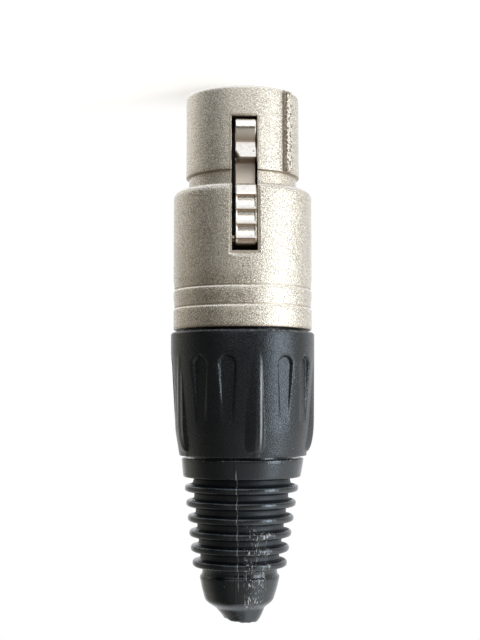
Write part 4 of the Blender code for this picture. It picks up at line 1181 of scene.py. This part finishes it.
def make_stage_piece(name, vertices, faces, finish):
    """A mesh of the studio, with its places in millimetres."""
    mesh = bpy.data.meshes.new(name)
    mesh.from_pydata([Vector(place) * MM for place in vertices], [], faces)
    mesh.shade_smooth()
    piece = link_mesh(name, mesh, finish)
    return piece


def make_floor():
    """Small white table round the nose, which fades out towards its rim and keeps the shadow."""
    finish = Finish("floor", Base_Color=colour(FLOOR_COLOUR), Specular_IOR_Level=0.0, Roughness=0.9,
                    Emission_Strength=1.0)
    seen = finish.node("ShaderNodeLightPath", output="Is Camera Ray")
    finish.feed(
        Alpha=finish.off_axis().step(FLOOR_RADIUS, FLOOR_RADIUS * 0.3),
        Emission_Color=seen * FLOOR_LIFT,
    )
    count = 72
    vertices = [(0, 0, 0)] + [around(FLOOR_RADIUS, 360 * i / count, 0) for i in range(count)]
    faces = [(0, 1 + i, 1 + (i + 1) % count) for i in range(count)]
    floor = make_stage_piece("floor", vertices, faces, finish.material)
    floor.visible_glossy = False
    return floor


def make_walls():
    """Studio wall round the front that the metal mirrors, with grey levels by angle at three heights."""
    finish = Finish("studio_wall", Base_Color=colour((0, 0, 0)), Specular_IOR_Level=0.0, Roughness=1.0,
                    Emission_Strength=WALL_STRENGTH)
    rise = finish.maths("ARCTAN2", finish.z - WALL_CENTRE, finish.off_axis()) * math.degrees(1)
    share = (finish.angle - WALL_SPAN[0]) / (WALL_SPAN[1] - WALL_SPAN[0])
    levels = []
    for table in (WALL_LOW, WALL_MIDDLE, WALL_HIGH):
        stops = [((angle - WALL_SPAN[0]) / (WALL_SPAN[1] - WALL_SPAN[0]), level / WALL_STRENGTH)
                 for angle, level in table]
        levels.append(finish.node("ShaderNodeValToRGB", {"stops": stops}, {0: share}))
    level = finish.mix(rise.step(*WALL_TURN), *levels[:2])
    level = finish.mix(rise.step(*WALL_DIM), level, levels[2])
    tint = finish.mix(level, WALL_WARM, (1, 1, 1))
    finish.feed(Emission_Color=finish.shade(tint, level - 1))
    count, rows = 60, 30
    angles = [WALL_SPAN[0] + (WALL_SPAN[1] - WALL_SPAN[0]) * i / count for i in range(count + 1)]
    vertices, faces = [], []
    for radius, rise in arc((0, WALL_CENTRE), WALL_RADIUS, *WALL_RISE, rows):
        vertices += [around(radius, angle, rise) for angle in angles]
    for i in range(rows):
        row = i * (count + 1)
        faces += [(row + j, row + j + 1, row + count + j + 2, row + count + j + 1) for j in range(count)]
    wall = make_stage_piece("studio_wall", vertices, faces, finish.material)
    wall.visible_camera = False
    return wall


def aim_at(thing, place, aim, upright):
    """Put a lamp or a camera at a place, look along its aim and link it."""
    side = aim.cross(Vector(upright)).normalized()
    turned = Matrix((side, side.cross(aim), -aim)).transposed().to_4x4()
    thing.matrix_world = Matrix.Translation(place * MM) @ turned
    bpy.context.scene.collection.objects.link(thing)


def make_softbox(name, angle, height, distance, wide, tall, radiance):
    """A soft lamp of a width and a height that looks at the middle of the plug."""
    lamp = bpy.data.lights.new(name, "AREA")
    lamp.shape = "RECTANGLE"
    lamp.size = wide * MM
    lamp.size_y = tall * MM
    lamp.energy = radiance * math.pi * wide * tall * MM ** 2
    lamp.color = LAMP_COLOUR
    place = around(distance, angle, height)
    aim = (Vector((0, 0, LAMP_AIM)) - place).normalized()
    aim_at(bpy.data.objects.new(name, lamp), place, aim, (0, 0, 1))


def make_camera():
    """Camera at the photograph's viewing angle, with the plug's tail at the foot of the picture."""
    data = bpy.data.cameras.new("camera")
    data.lens = CAMERA_LENS
    data.clip_start = 0.01
    camera = bpy.data.objects.new("camera", data)
    turn, tilt = math.radians(CAMERA_ANGLE), math.radians(CAMERA_TILT)
    aim = Vector((math.sin(turn) * math.cos(tilt), math.cos(turn) * math.cos(tilt), -math.sin(tilt)))
    place = around(CAMERA_DISTANCE, CAMERA_ANGLE, CAMERA_HEIGHT) + Vector((CAMERA_OFFSET, 0, 0))
    aim_at(camera, place, aim, (0, 0, -1))
    bpy.context.scene.camera = camera


def light_world():
    """Plain white surroundings, also for the camera and in reflections."""
    world = bpy.data.worlds.new("studio")
    world.use_nodes = True
    background = world.node_tree.nodes["Background"]
    background.inputs["Color"].default_value = (1, 1, 1, 1)
    background.inputs["Strength"].default_value = 1.0
    bpy.context.scene.world = world


make_shell(blasted_nickel())
make_latch(worn_nickel())
make_spring(drawn_steel())
make_nut(black_plastic())
make_relief(black_rubber())
dress(plated_contact(), "contact_1", "contact_2", "contact_3", "ground_leaf")
dress(moulded_insulator(), "insert_front", "insert_rear")
dress(pale_plastic(), "chuck")

light_world()
make_floor()
make_walls()
make_softbox("softbox", angle=60, height=40, distance=140, wide=50, tall=110, radiance=5.8)
make_softbox("strip", angle=28, height=135, distance=105, wide=110, tall=14, radiance=8)
make_camera()
bpy.context.scene.view_settings.view_transform = "Standard"
